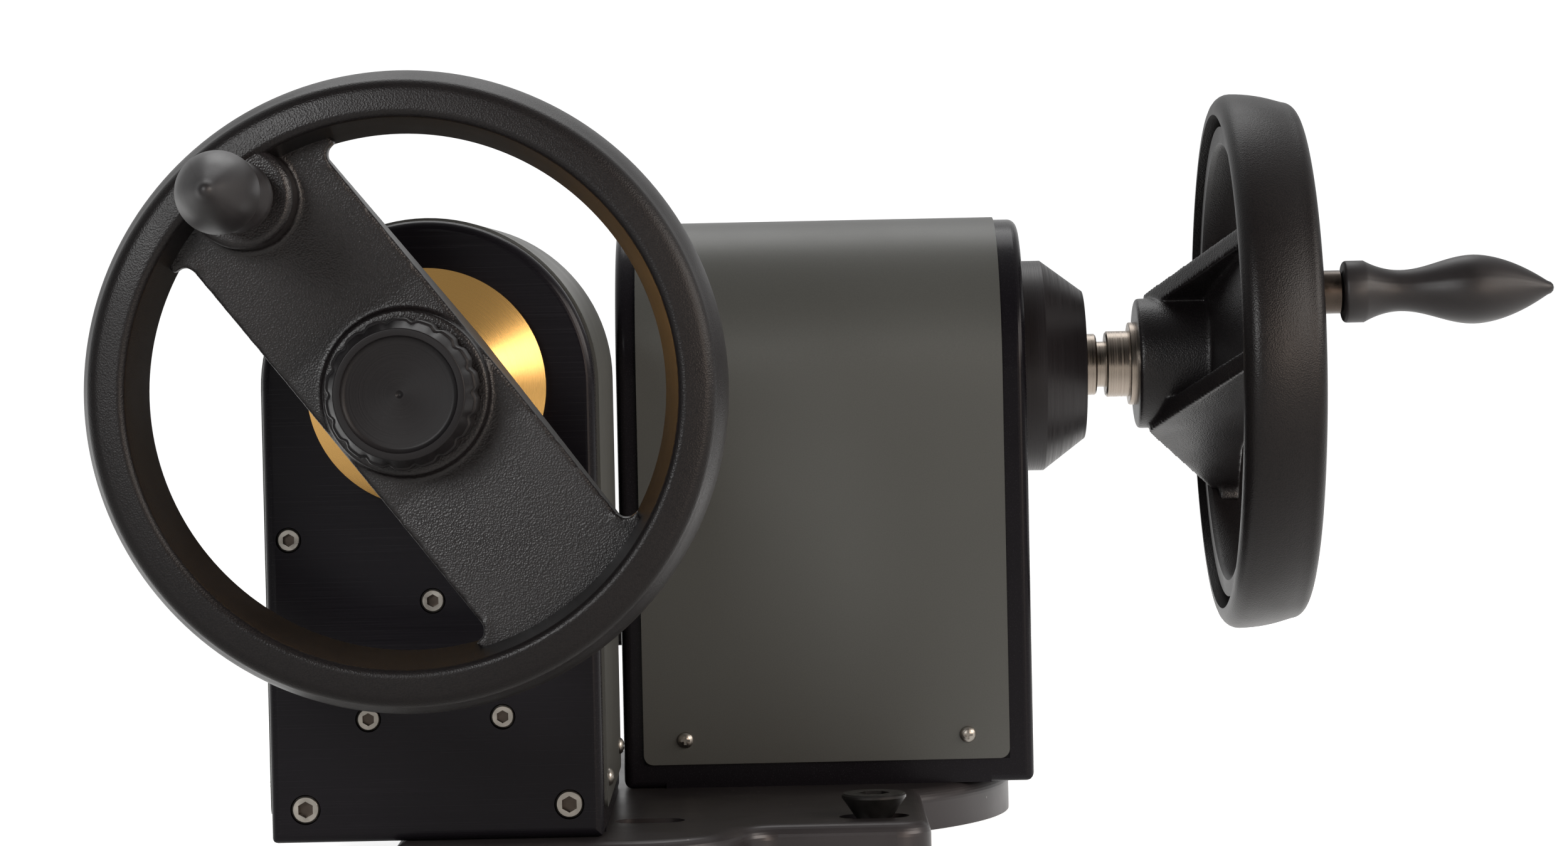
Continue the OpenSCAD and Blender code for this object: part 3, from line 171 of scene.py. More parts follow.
class Form:
    """A mesh under construction, in millimetres: x along a shaft, y and z across it."""

    def __init__(self) -> None:
        """Start with nothing."""
        self.bm = bmesh.new()

    def _settle(self, old: set[bmesh.types.BMVert], shift: Sequence[float]) -> Verts:
        """Weld, close and place what was added since a mark.

        Args:
            old: the vertices that were there before.
            shift: where the new shape goes.

        Returns:
            The new vertices.
        """
        new = [v for v in self.bm.verts if v not in old]
        bmesh.ops.remove_doubles(self.bm, verts=new, dist=WELD_MM)
        new = [v for v in self.bm.verts if v not in old]
        rims = [e for e in self.bm.edges if e.is_boundary]
        if rims:
            bmesh.ops.holes_fill(self.bm, edges=rims, sides=0)
        faces = list(dict.fromkeys(f for v in new for f in v.link_faces))
        bmesh.ops.recalc_face_normals(self.bm, faces=faces)
        bmesh.ops.translate(self.bm, verts=new, vec=Vector(shift))
        return new

    def spin(self, profile: Sequence[Point2], steps: int = 96, closed: bool = False,
             at: Sequence[float] = ORIGIN) -> Verts:
        """Turn a profile about the x axis.

        Args:
            profile: points of radius and x.
            steps: facets round the turn.
            closed: whether the last point joins the first.
            at: where the turned shape goes.

        Returns:
            The new vertices.
        """
        old = set(self.bm.verts)
        verts = [self.bm.verts.new((x, r, 0.0)) for r, x in profile]
        ring = verts[1:] + (verts[:1] if closed else [])
        edges = [self.bm.edges.new(pair) for pair in zip(verts, ring)]
        bmesh.ops.spin(self.bm, geom=verts + edges, cent=ORIGIN, axis=(1, 0, 0), dvec=ORIGIN,
                       angle=math.tau, steps=steps, use_merge=True, use_duplicate=False)
        return self._settle(old, at)

    def rod(self, radius: float, start: float, end: float, edge: Point2 = (0.0, 0.0), steps: int = 96,
            at: Sequence[float] = ORIGIN) -> None:
        """Turn a rod about the x axis, with a chamfer at its end.

        Args:
            radius: its radius.
            start: x where it starts.
            end: x where it ends, on either side of its start.
            edge: the chamfer's size across and along the rod.
            steps: facets round the turn.
            at: where the rod goes.
        """
        shoulder = [(radius, end)]
        if any(edge):
            shoulder = [(radius, end - math.copysign(edge[1], end - start)), (radius - edge[0], end)]
        self.spin([(0.0, start), (radius, start)] + shoulder + [(0.0, end)], steps, at=at)

    def prism(self, outline: Sequence[Point2], low: float, high: float, along: Axis) -> None:
        """Extrude an outline.

        Args:
            outline: points of (y, z) for an extrusion along x, or of (x, y) along z.
            low: start of the extrusion.
            high: end of the extrusion.
            along: Axis.X or Axis.Z.
        """
        old = set(self.bm.verts)
        if along is Axis.X:
            points = [(low, a, b) for a, b in outline]
            step = Vector((high - low, 0.0, 0.0))
        else:
            points = [(a, b, low) for a, b in outline]
            step = Vector((0.0, 0.0, high - low))
        face = self.bm.faces.new([self.bm.verts.new(p) for p in points])
        moved = bmesh.ops.extrude_face_region(self.bm, geom=[face])["geom"]
        bmesh.ops.translate(self.bm, verts=[g for g in moved if isinstance(g, bmesh.types.BMVert)],
                            vec=step)
        self._settle(old, ORIGIN)

    def piece(self, name: str, place: Matrix, sharp: float = 40.0) -> Object:
        """Turn the form into an object of the scene.

        Args:
            name: the object's name.
            place: matrix from the form to the frame.
            sharp: angle in degrees above which an edge stays sharp.

        Returns:
            The object, at the origin, with its place in its mesh.
        """
        bmesh.ops.transform(self.bm, matrix=place, verts=self.bm.verts)
        mesh = bpy.data.meshes.new(name)
        self.bm.to_mesh(mesh)
        self.bm.free()
        soften(mesh, sharp)
        obj = bpy.data.objects.new(name, mesh)
        bpy.context.scene.collection.objects.link(obj)
        return obj


def soften(mesh: bpy.types.Mesh, sharp: float) -> None:
    """Shade a mesh smooth, but for edges sharper than an angle in degrees."""
    mesh.shade_smooth()
    mesh.set_sharp_from_angle(angle=math.radians(sharp))


def bake_modifiers(obj: Object, sharp: float = 50.0) -> None:
    """Put an object's modifiers into its mesh.

    Args:
        obj: the object.
        sharp: angle in degrees above which an edge stays sharp.
    """
    graph = bpy.context.evaluated_depsgraph_get()
    mesh = bpy.data.meshes.new_from_object(obj.evaluated_get(graph))
    old = obj.data
    obj.modifiers.clear()
    obj.data = mesh
    mesh.name = old.name
    bpy.data.meshes.remove(old)
    soften(mesh, sharp)


def mould(obj: Object, grid: float, passes: int, factor: float = 0.5) -> None:
    """Melt overlapping shells into one skin with soft edges.

    Args:
        obj: the object that holds the shells.
        grid: grid of the skin in millimetres.
        passes: smoothing passes.
        factor: share of the way that a pass moves a vertex to its neighbours' middle.
    """
    skin_grid = obj.modifiers.new("skin", "REMESH")
    skin_grid.mode = "VOXEL"
    skin_grid.voxel_size = grid * MM
    fillets = obj.modifiers.new("fillets", "SMOOTH")
    fillets.factor = factor
    fillets.iterations = passes
    bake_modifiers(obj)


def carve(obj: Object, drill: Object) -> None:
    """Cut one object out of another.

    Args:
        obj: the object that loses material.
        drill: the shape of the bores.
    """
    cut = obj.modifiers.new("bores", "BOOLEAN")
    cut.operation = "DIFFERENCE"
    cut.solver = "EXACT"
    cut.object = drill
    bake_modifiers(obj)


def dress(obj: Object, material: Material) -> None:
    """Give an object one material.

    Args:
        obj: a modelled piece or a CAD node.
        material: its finish.
    """
    obj.data.materials.clear()
    obj.data.materials.append(material)
    LOG.info("%s in %s, %d faces", obj.name, material.name, len(obj.data.polygons))


def show(obj: Object, body: str, slot: str, material: Material, *nodes: str) -> None:
    """Finish a piece: dress it, let it ride, and hide the CAD nodes that it replaces.

    Args:
        obj: the piece.
        body: the CAD body that it moves with.
        slot: the record's material slot; not used.
        material: its finish.
        nodes: CAD nodes that it replaces.
    """
    dress(obj, material)
    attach(obj, body)
    if nodes:
        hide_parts(*nodes)
    LOG.info("%s rides on %s", obj.name, body)


# Finishes

MIX_A, MIX_B, MIX_RESULT = 6, 7, 2  # numbers of the Mix node's colour sockets
NOISE_LOW, NOISE_HIGH = 0.3, 0.7  # most values of a noise texture lie between these


def linear(code: str) -> tuple[float, ...]:
    """Linear colour of an sRGB hex code, with full alpha."""
    parts = [int(code[i:i + 2], 16) / 255.0 for i in (1, 3, 5)]
    return (*(p / 12.92 if p <= 0.04045 else ((p + 0.055) / 1.055) ** 2.4 for p in parts), 1.0)


def add(tree: NodeTree, kind: str, values: Optional[dict[Union[str, int], Any]] = None) -> Node:
    """Add a node with its settings and links.

    Args:
        tree: the node tree.
        kind: the node's type, without the ShaderNode prefix.
        values: properties by name, and inputs by name or number. A socket is linked, a hex
            code becomes a colour, and any other value is set.

    Returns:
        The node.
    """
    node = tree.nodes.new("ShaderNode" + kind)
    for key, value in (values or {}).items():
        if isinstance(key, str) and hasattr(node, key):
            setattr(node, key, value)
        elif isinstance(value, Socket):
            tree.links.new(value, node.inputs[key])
        else:
            node.inputs[key].default_value = linear(value) if isinstance(value, str) else value
    return node


def skin(tree: NodeTree, tint: tuple[Socket, Union[str, Socket], str], rough: tuple[Socket, float, Point2],
         relief: tuple[Socket, float, float]) -> dict[str, Socket]:
    """Add the colour, the roughness and the relief of a surface.

    Args:
        tree: the node tree.
        tint: a factor from 0 to 1, and the two colours that it blends.
        rough: a noise, the middle roughness, and how far it falls and rises with the noise.
        relief: a height, the strength of its bump, and its depth in millimetres.

    Returns:
        Inputs of the shader.
    """
    factor, first, second = tint
    noise, middle, (fall, rise) = rough
    height, strength, depth_mm = relief
    colour = add(tree, "Mix", {"data_type": "RGBA", "Factor": factor, MIX_A: first, MIX_B: second})
    spread = add(tree, "MapRange", {"Value": noise, "From Min": NOISE_LOW, "From Max": NOISE_HIGH,
                                    "To Min": middle - fall, "To Max": middle + rise})
    bump = add(tree, "Bump", {"Strength": strength, "Distance": depth_mm * MM, "Height": height})
    return {"Base Color": colour.outputs[MIX_RESULT], "Roughness": spread.outputs["Result"],
            "Normal": bump.outputs["Normal"]}


@dataclass(frozen=True)
class Finish:
    """A procedural finish. Patterns run on Object coordinates and have sizes in millimetres."""

    name: str

    def material(self) -> Material:
        """Build the finish.

        Returns:
            The material.
        """
        material = bpy.data.materials.new(self.name)
        material.use_nodes = True
        tree = material.node_tree
        tree.nodes.clear()
        where = add(tree, "TexCoord").outputs["Object"]
        shader = add(tree, "BsdfPrincipled", self.surface(tree, where))
        add(tree, "OutputMaterial", {"Surface": shader.outputs["BSDF"]})
        return material

    def surface(self, tree: NodeTree, where: Socket) -> dict[str, Any]:
        """Add the nodes that make the finish, and return the shader's inputs."""
        raise NotImplementedError


@dataclass(frozen=True)
class GrainedPolymer(Finish):
    """Glass-filled nylon moulded in a grained tool: matt black, a pebbled leather grain."""

    dark: str = "#0e0c0d"
    light: str = "#1a1617"
    grain_mm: float = 0.55
    depth_mm: float = 0.1
    strength: float = 0.9
    pits: Point2 = (0.1, 0.75)  # distances from a grain's middle between which it darkens
    drift: float = 2.6  # width of the swell under the grain, in grains
    drift_share: float = 0.3
    cloud_mm: float = 45.0
    roughness: float = 0.37
    wander: Point2 = (0.06, 0.08)
    gloss: float = 0.38

    def surface(self, tree: NodeTree, where: Socket) -> dict[str, Any]:
        """Add pebbles with dark pits, and a slow cloud in the sheen.

        Args:
            tree: the node tree.
            where: Object coordinates.

        Returns:
            Inputs of the shader.
        """
        grain = self.grain_mm * MM
        cells = add(tree, "TexVoronoi", {"feature": "SMOOTH_F1", "Scale": 1 / grain, "Smoothness": 0.7,
                                         "Vector": where}).outputs["Distance"]
        drift = add(tree, "TexNoise", {"Scale": 1 / (self.drift * grain), "Detail": 3.0, "Vector": where})
        height = add(tree, "Math", {"operation": "MULTIPLY_ADD", 0: drift.outputs["Fac"],
                                    1: self.drift_share, 2: cells})
        shade = add(tree, "MapRange", {"Value": cells, "From Min": self.pits[0], "From Max": self.pits[1]})
        cloud = add(tree, "TexNoise", {"Scale": 1 / (self.cloud_mm * MM), "Detail": 4.0, "Vector": where})
        return {"Specular IOR Level": self.gloss,
                **skin(tree, (shade.outputs["Result"], self.light, self.dark),
                       (cloud.outputs["Fac"], self.roughness, self.wander),
                       (height.outputs["Value"], self.strength, self.depth_mm))}


@dataclass(frozen=True)
class CloudedFinish(Finish):
    """A plain surface: a cloud in its colour and its sheen, and a fine relief."""

    light: str
    dark: str
    cloud_mm: float = 4.0
    fine_mm: float = 0.4
    depth_mm: float = 0.03
    strength: float = 0.15
    roughness: float = 0.3
    wander: Point2 = (0.08, 0.1)
    metallic: float = 1.0
    gloss: float = 0.5

    def surface(self, tree: NodeTree, where: Socket) -> dict[str, Any]:
        """Add the cloud and the relief.

        Args:
            tree: the node tree.
            where: Object coordinates.

        Returns:
            Inputs of the shader.
        """
        cloud = add(tree, "TexNoise", {"Scale": 1 / (self.cloud_mm * MM), "Detail": 5.0,
                                       "Vector": where}).outputs["Fac"]
        fine = add(tree, "TexNoise", {"Scale": 1 / (self.fine_mm * MM), "Detail": 2.0, "Vector": where})
        return {"Metallic": self.metallic, "Specular IOR Level": self.gloss,
                **skin(tree, (cloud, self.dark, self.light), (cloud, self.roughness, self.wander),
                       (fine.outputs["Fac"], self.strength, self.depth_mm))}


@dataclass(frozen=True)
class PlainMetal(CloudedFinish):
    """Plated, ground or oxidised metal: stains in the sheen, and small scratches.

    Real scratches are about 0.05 mm wide. They are drawn coarser, so that they show.
    """


@dataclass(frozen=True)
class SatinPolymer(CloudedFinish):
    """Nylon moulded in a blasted tool: black with a low sheen and a very fine pebble."""

    light: str = "#201d1e"
    dark: str = "#151314"
    cloud_mm: float = 18.0
    fine_mm: float = 0.6  # a blasted tool leaves about 0.1 mm; drawn coarser, so that it shows
    depth_mm: float = 0.05
    strength: float = 0.35
    roughness: float = 0.42
    wander: Point2 = (0.07, 0.1)
    metallic: float = 0.0
    gloss: float = 0.4


@dataclass(frozen=True)
class BrushedAnodised(Finish):
    """Aluminium plate, line brushed and anodised black: long fine streaks in the sheen."""

    along: Axis
    dark: str = "#0e0d10"
    light: str = "#19171b"
    line_mm: float = 0.5  # a brush leaves lines of about 0.1 mm; drawn coarser, so that they show
    line_l_mm: float = 70.0
    depth_mm: float = 0.02
    strength: float = 0.1
    cloud_mm: float = 60.0
    patches: Point2 = (0.7, 1.4)  # weight of the streaks' colour where it is weakest and strongest
    roughness: float = 0.24
    wander: Point2 = (0.05, 0.06)
    metallic: float = 0.1
    gloss: float = 0.15

    def surface(self, tree: NodeTree, where: Socket) -> dict[str, Any]:
        """Add streaks along one axis, stronger in some patches than in others.

        Args:
            tree: the node tree.
            where: Object coordinates.

        Returns:
            Inputs of the shader.
        """
        stretch = [1 / (self.line_mm * MM)] * 3
        stretch[self.along.value] = 1 / (self.line_l_mm * MM)
        lines = add(tree, "Mapping", {"Scale": stretch, "Vector": where})
        streaks = add(tree, "TexNoise", {"Scale": 1.0, "Detail": 4.0, "Roughness": 0.65,
                                         "Vector": lines.outputs["Vector"]}).outputs["Fac"]
        cloud = add(tree, "TexNoise", {"Scale": 1 / (self.cloud_mm * MM), "Detail": 3.0, "Vector": where})
        weight = add(tree, "MapRange", {"Value": cloud.outputs["Fac"], "From Min": NOISE_LOW,
                                        "From Max": NOISE_HIGH, "To Min": self.patches[0],
                                        "To Max": self.patches[1]})
        mixed = add(tree, "Math", {"operation": "MULTIPLY", 0: streaks, 1: weight.outputs["Result"]})
        return {"Metallic": self.metallic, "Specular IOR Level": self.gloss,
                **skin(tree, (mixed.outputs["Value"], self.dark, self.light),
                       (streaks, self.roughness, self.wander), (streaks, self.strength, self.depth_mm))}


@dataclass(frozen=True)
class DustyAnodised(Finish):
    """Aluminium plate, blasted and anodised black: an even satin with a few dust specks."""

    dark: str = "#252223"
    light: str = "#363233"
    dust: str = "#8d8a86"
    grit_mm: float = 0.8  # blasting leaves about 0.1 mm; drawn coarser, so that it shows
    depth_mm: float = 0.04
    strength: float = 0.3
    cloud_mm: float = 35.0
    dust_mm: float = 9.0  # from speck to speck
    dust_r: Point2 = (0.03, 0.06)  # full and faded radius of a speck, as shares of that
    dust_cover: float = 0.6
    roughness: float = 0.34
    wander: Point2 = (0.05, 0.08)
    metallic: float = 0.3

    def surface(self, tree: NodeTree, where: Socket) -> dict[str, Any]:
        """Add a fine grit, a cloud in the colour and the sheen, and specks.

        Args:
            tree: the node tree.
            where: Object coordinates.

        Returns:
            Inputs of the shader.
        """
        fine = add(tree, "TexNoise", {"Scale": 1 / (self.grit_mm * MM), "Detail": 3.0, "Vector": where})
        cloud = add(tree, "TexNoise", {"Scale": 1 / (self.cloud_mm * MM), "Detail": 5.0,
                                       "Vector": where}).outputs["Fac"]
        specks = add(tree, "TexVoronoi", {"Scale": 1 / (self.dust_mm * MM), "Randomness": 1.0,
                                          "Vector": where})
        body = add(tree, "Mix", {"data_type": "RGBA", "Factor": cloud, MIX_A: self.dark, MIX_B: self.light})
        spot = add(tree, "MapRange", {"Value": specks.outputs["Distance"], "From Min": self.dust_r[0],
                                      "From Max": self.dust_r[1], "To Min": self.dust_cover, "To Max": 0.0})
        return {"Metallic": self.metallic,
                **skin(tree, (spot.outputs["Result"], body.outputs[MIX_RESULT], self.dust),
                       (cloud, self.roughness, self.wander),
                       (fine.outputs["Fac"], self.strength, self.depth_mm))}


@dataclass(frozen=True)
class SatinCoat(Finish):
    """Sheet aluminium with a sprayed satin coat: warm grey, fine flake, faint orange peel."""

    dark: str = "#444543"
    light: str = "#4f504d"
    flake_mm: float = 0.5  # a coat's flakes are about 0.05 mm; drawn coarser, so that they show
    flake_share: float = 0.25
    peel_mm: float = 3.5
    depth_mm: float = 0.06
    strength: float = 0.15
    cloud_mm: float = 80.0
    roughness: float = 0.4
    wander: Point2 = (0.04, 0.06)
    metallic: float = 0.2
    gloss: float = 0.4

    def surface(self, tree: NodeTree, where: Socket) -> dict[str, Any]:
        """Add flakes on orange peel, and a slow cloud in the sheen.

        Args:
            tree: the node tree.
            where: Object coordinates.

        Returns:
            Inputs of the shader.
        """
        flake = add(tree, "TexNoise", {"Scale": 1 / (self.flake_mm * MM), "Detail": 2.0,
                                       "Vector": where}).outputs["Fac"]
        peel = add(tree, "TexNoise", {"Scale": 1 / (self.peel_mm * MM), "Detail": 2.0, "Vector": where})
        cloud = add(tree, "TexNoise", {"Scale": 1 / (self.cloud_mm * MM), "Detail": 4.0, "Vector": where})
        height = add(tree, "Math", {"operation": "MULTIPLY_ADD", 0: flake, 1: self.flake_share,
                                    2: peel.outputs["Fac"]})
        return {"Metallic": self.metallic, "Specular IOR Level": self.gloss,
                **skin(tree, (flake, self.dark, self.light),
                       (cloud.outputs["Fac"], self.roughness, self.wander),
                       (height.outputs["Value"], self.strength, self.depth_mm))}


@dataclass(frozen=True)
class TurnedMetal(Finish):
    """Metal turned on a lathe: fine rings round its axis, and a highlight drawn out across them."""

    colour: str
    deep: str
    along: Axis
    centre: Point3
    metallic: float = 1.0
    roughness: float = 0.26
    wander: Point2 = (0.06, 0.08)
    ring_mm: float = 0.7  # a lathe leaves rings of about 0.1 mm; drawn coarser, so that they show
    depth_mm: float = 0.03
    groove: float = 0.2
    stretch: float = 0.6
    gloss: float = 0.5

    def surface(self, tree: NodeTree, where: Socket) -> dict[str, Any]:
        """Add rings that follow the radius on a face and the length on a side.

        Args:
            tree: the node tree.
            where: Object coordinates.

        Returns:
            Inputs of the shader.
        """
        flat = [1.0, 1.0, 1.0]
        flat[self.along.value] = 0.0
        offset = add(tree, "VectorMath", {"operation": "SUBTRACT", 0: where, 1: self.centre})
        middle = offset.outputs["Vector"]
        across = add(tree, "VectorMath", {"operation": "MULTIPLY", 0: middle, 1: flat})
        radius = add(tree, "VectorMath", {"operation": "LENGTH", 0: across.outputs["Vector"]})
        split = add(tree, "SeparateXYZ", {0: middle})
        run = add(tree, "Math", {"operation": "ADD", 0: radius.outputs["Value"],
                                 1: split.outputs[self.along.value]})
        rings = add(tree, "TexNoise", {"noise_dimensions": "1D", "Scale": 1 / (self.ring_mm * MM),
                                       "Detail": 3.0, "W": run.outputs["Value"]}).outputs["Fac"]
        way = add(tree, "Tangent", {"direction_type": "RADIAL", "axis": self.along.name})
        return {"Metallic": self.metallic, "Anisotropic": self.stretch, "Specular IOR Level": self.gloss,
                "Tangent": way.outputs["Tangent"],
                **skin(tree, (rings, self.deep, self.colour), (rings, self.roughness, self.wander),
                       (rings, self.groove, self.depth_mm))}


@dataclass(frozen=True)
class OpalSheet(Finish):
    """Opal sheet lit through: matt, evenly white to the eye, and dimmer in front for reflections."""

    pale: str = "#cbcbc9"
    shade: str = "#c4c4c2"
    cloud_mm: float = 300.0
    roughness: float = 0.85
    glow: float = 0.9
    dim: float = 0.1
    fade_m: Point2 = (-0.3, 0.05)  # y where the glow is dim, and where it is full
    face: float = 0.84

    def surface(self, tree: NodeTree, where: Socket) -> dict[str, Any]:
        """Add a glow that is even to the eye and fades towards the front for the light it lends.

        Args:
            tree: the node tree.
            where: Object coordinates.

        Returns:
            Inputs of the shader.
        """
        cloud = add(tree, "TexNoise", {"Scale": 1 / (self.cloud_mm * MM), "Detail": 2.0, "Vector": where})
        colour = add(tree, "Mix", {"data_type": "RGBA", "Factor": cloud.outputs["Fac"],
                                   MIX_A: self.shade, MIX_B: self.pale})
        depth = add(tree, "SeparateXYZ", {0: where}).outputs["Y"]
        lent = add(tree, "MapRange", {"interpolation_type": "SMOOTHERSTEP", "Value": depth,
                                      "From Min": self.fade_m[0], "From Max": self.fade_m[1],
                                      "To Min": self.dim, "To Max": self.glow})
        seen = add(tree, "LightPath").outputs["Is Camera Ray"]
        glow = add(tree, "MapRange", {"Value": seen, "To Min": lent.outputs["Result"], "To Max": self.face})
        return {"Base Color": colour.outputs[MIX_RESULT], "Roughness": self.roughness,
                "Emission Color": WHITE, "Emission Strength": glow.outputs["Result"]}


# Pieces


@dataclass
class Handwheel:
    """Moulded two-spoke handwheel. Sizes in millimetres, x from the front plate's face."""

    place: Place
    outer_r: float = 100.0
    inner_r: float = 80.0
    back: float = 74.5
    front: float = 105.0
    draft: float = 4.5  # widening of the rim's inside towards the front
    back_edge_r: float = 6.0
    crown: float = 3.3  # narrowing of the rim's outside towards the front
    crown_gap: float = 5.5  # from the end of the crown to the front
    brow_r: float = 4.8  # rounding from the crown to the front
    ridge_r: float = 2.6  # rounding from the front to the inside
    lip: float = 2.5  # how far the inner edge at the back stands forward of the outer
    lip_edge: float = 2.0
    lip_draft: float = 0.4
    wall: float = 7.5  # rim's wall outside the groove
    groove_w: float = 4.5
    groove_depth: float = 19.0
    groove_draft: float = 0.7
    face: float = 87.5  # mean front of the spokes
    dish: float = 2.0  # how far their front rises to the rim and falls to the hub
    half_spoke: float = 27.0
    bite: float = 4.0  # how far the spokes run into the rim
    web: float = 6.0
    web_inset: float = 1.0
    web_hub: Point2 = (17.0, 24.0)  # web's depth at the hub, and how far out it has it
    flange: float = 7.5
    flange_lap: float = 0.5  # how much deeper than the web a flange is at the rim
    flange_root: float = 4.3  # from the hub's back to the flanges' rearmost line
    flange_toe: float = 2.0  # half length of that line
    corner_r: float = 3.8  # fillets between spokes and rim
    corner_sink: float = 2.0  # how far a fillet runs into the spoke
    corner_drop: float = 0.6  # how far it stays behind the spoke's front
    corner_lap: float = 0.3  # how far its curve runs into the rim
    hub_r: float = 24.3
    hub_back: float = 44.0
    hub_cover: float = 2.0  # from the hub's front to the spokes'
    hub_edge: Point2 = (0.8, 0.8)
    ring_r: float = 26.0
    ring_front: float = 89.0
    ring_root: float = 4.0  # from the spokes' front to the ring's start
    ring_edge: Point2 = (0.6, 0.6)
    boss_r: float = 16.0
    boss_front: float = 104.5
    boss_l: float = 22.0
    boss_edge: Point2 = (1.5, 1.5)
    bore_r: float = 12.03
    bore_span: Point2 = (30.0, 120.0)  # x where its drill starts and ends
    pin_r: float = 5.03
    pin_depth: float = 18.0
    pin_end: float = 130.0  # x where the drill for the handle's pin ends
    grid: float = 0.75
    passes: int = 5

    def rim_profile(self) -> list[Point2]:
        """Closed profile of the rim.

        Returns:
            Points of radius and x.
        """
        start, meet, end = 4, 82, 190  # angles of the two roundings at the front
        bend = (self.outer_r - self.back_edge_r, self.back + self.back_edge_r)
        crown_end = (self.outer_r - self.crown, self.front - self.crown_gap)
        crown = swell((self.outer_r, bend[1]), crown_end, lambda t: t * t, 8)[:-1]
        brow = (crown_end[0] - self.brow_r, crown_end[1])
        ridge = (self.inner_r + self.draft + self.ridge_r, self.front - self.ridge_r)
        groove_out = self.outer_r - self.wall
        groove_in = groove_out - self.groove_w
        lip = self.back + self.lip
        floor = self.back + self.groove_depth
        return ([(groove_out, self.back)] + arc(bend, self.back_edge_r, -90, 0) + crown
                + arc(brow, self.brow_r, start, meet, 9) + arc(ridge, self.ridge_r, meet, end, 9)
                + [(self.inner_r + self.lip_draft, lip + self.lip_edge),
                   (self.inner_r + self.lip_edge, lip), (groove_in, lip),
                   (groove_in + self.groove_draft, floor), (groove_out - self.groove_draft, floor)])

    def spokes(self, form: Form) -> None:
        """Add the web, the two flanges and the fillets at the rim.

        Args:
            form: the form that takes them.
        """
        far = self.inner_r + self.bite
        high = self.face + self.dish
        low = self.face - self.dish
        rear = self.face - self.web
        foot = rear - self.flange_lap
        root = self.hub_back + self.flange_root
        deep = self.face - self.web_hub[0]
        deep_r = self.web_hub[1]
        front = [(high, -far), (low, -self.ring_r), (low, self.ring_r), (high, far)]
        web = front + [(rear, far), (deep, deep_r), (deep, -deep_r), (rear, -far)]
        wall = front + [(foot, far), (root, self.flange_toe), (root, -self.flange_toe), (foot, -far)]
        half_web = self.half_spoke - self.web_inset
        form.prism(web, -half_web, half_web, Axis.Z)
        for side in BOTH:
            near = side * (self.half_spoke - self.flange)
            edge = side * self.half_spoke
            form.prism(wall, min(near, edge), max(near, edge), Axis.Z)
        rise = self.half_spoke + self.corner_r
        mid = math.sqrt((self.inner_r + self.corner_lap - self.corner_r) ** 2 - rise ** 2)
        lean = math.degrees(math.atan2(rise, mid))
        sunk = self.half_spoke - self.corner_sink
        curve = arc((mid, rise), self.corner_r, 270, 360 + lean, 8)
        corner = [(mid, sunk)] + curve + [(far, rise), (far, sunk)]
        for side in BOTH:
            for way in BOTH:
                form.prism([(way * y, side * z) for y, z in corner], foot, high - self.corner_drop, Axis.X)

    def build(self, fine: Material, grained: Material) -> None:
        """Model the rim, and the spokes with their hub.

        Args:
            fine: finish of the rim.
            grained: finish of the spokes and the hub.
        """
        turn, orbit = self.place.handle()
        shaft = self.place.shaft(turn)
        pin_at = (0.0, orbit, 0.0)
        hoop = Form()
        hoop.spin(self.rim_profile(), steps=192, closed=True)
        rim = hoop.piece(self.place.node("wheel_rim"), shaft)
        form = Form()
        self.spokes(form)
        form.rod(self.hub_r, self.face - self.hub_cover, self.hub_back, self.hub_edge)
        form.rod(self.ring_r, self.face - self.ring_root, self.ring_front, self.ring_edge)
        form.rod(self.boss_r, self.boss_front - self.boss_l, self.boss_front, self.boss_edge, steps=64,
                 at=pin_at)
        spider = form.piece(self.place.node("wheel_spider"), shaft)
        mould(spider, self.grid, self.passes)
        drill = Form()
        drill.rod(self.bore_r, *self.bore_span, steps=64)
        drill.rod(self.pin_r, self.boss_front - self.pin_depth, self.pin_end, steps=48, at=pin_at)
        bores = drill.piece("drill", shaft)
        for piece in (rim, spider):
            carve(piece, bores)
        bpy.data.objects.remove(bores)
        body = self.place.node("wheel")
        show(rim, body, "wheel_polymer", fine, self.place.node("handwheel"))
        show(spider, body, "wheel_polymer", grained)


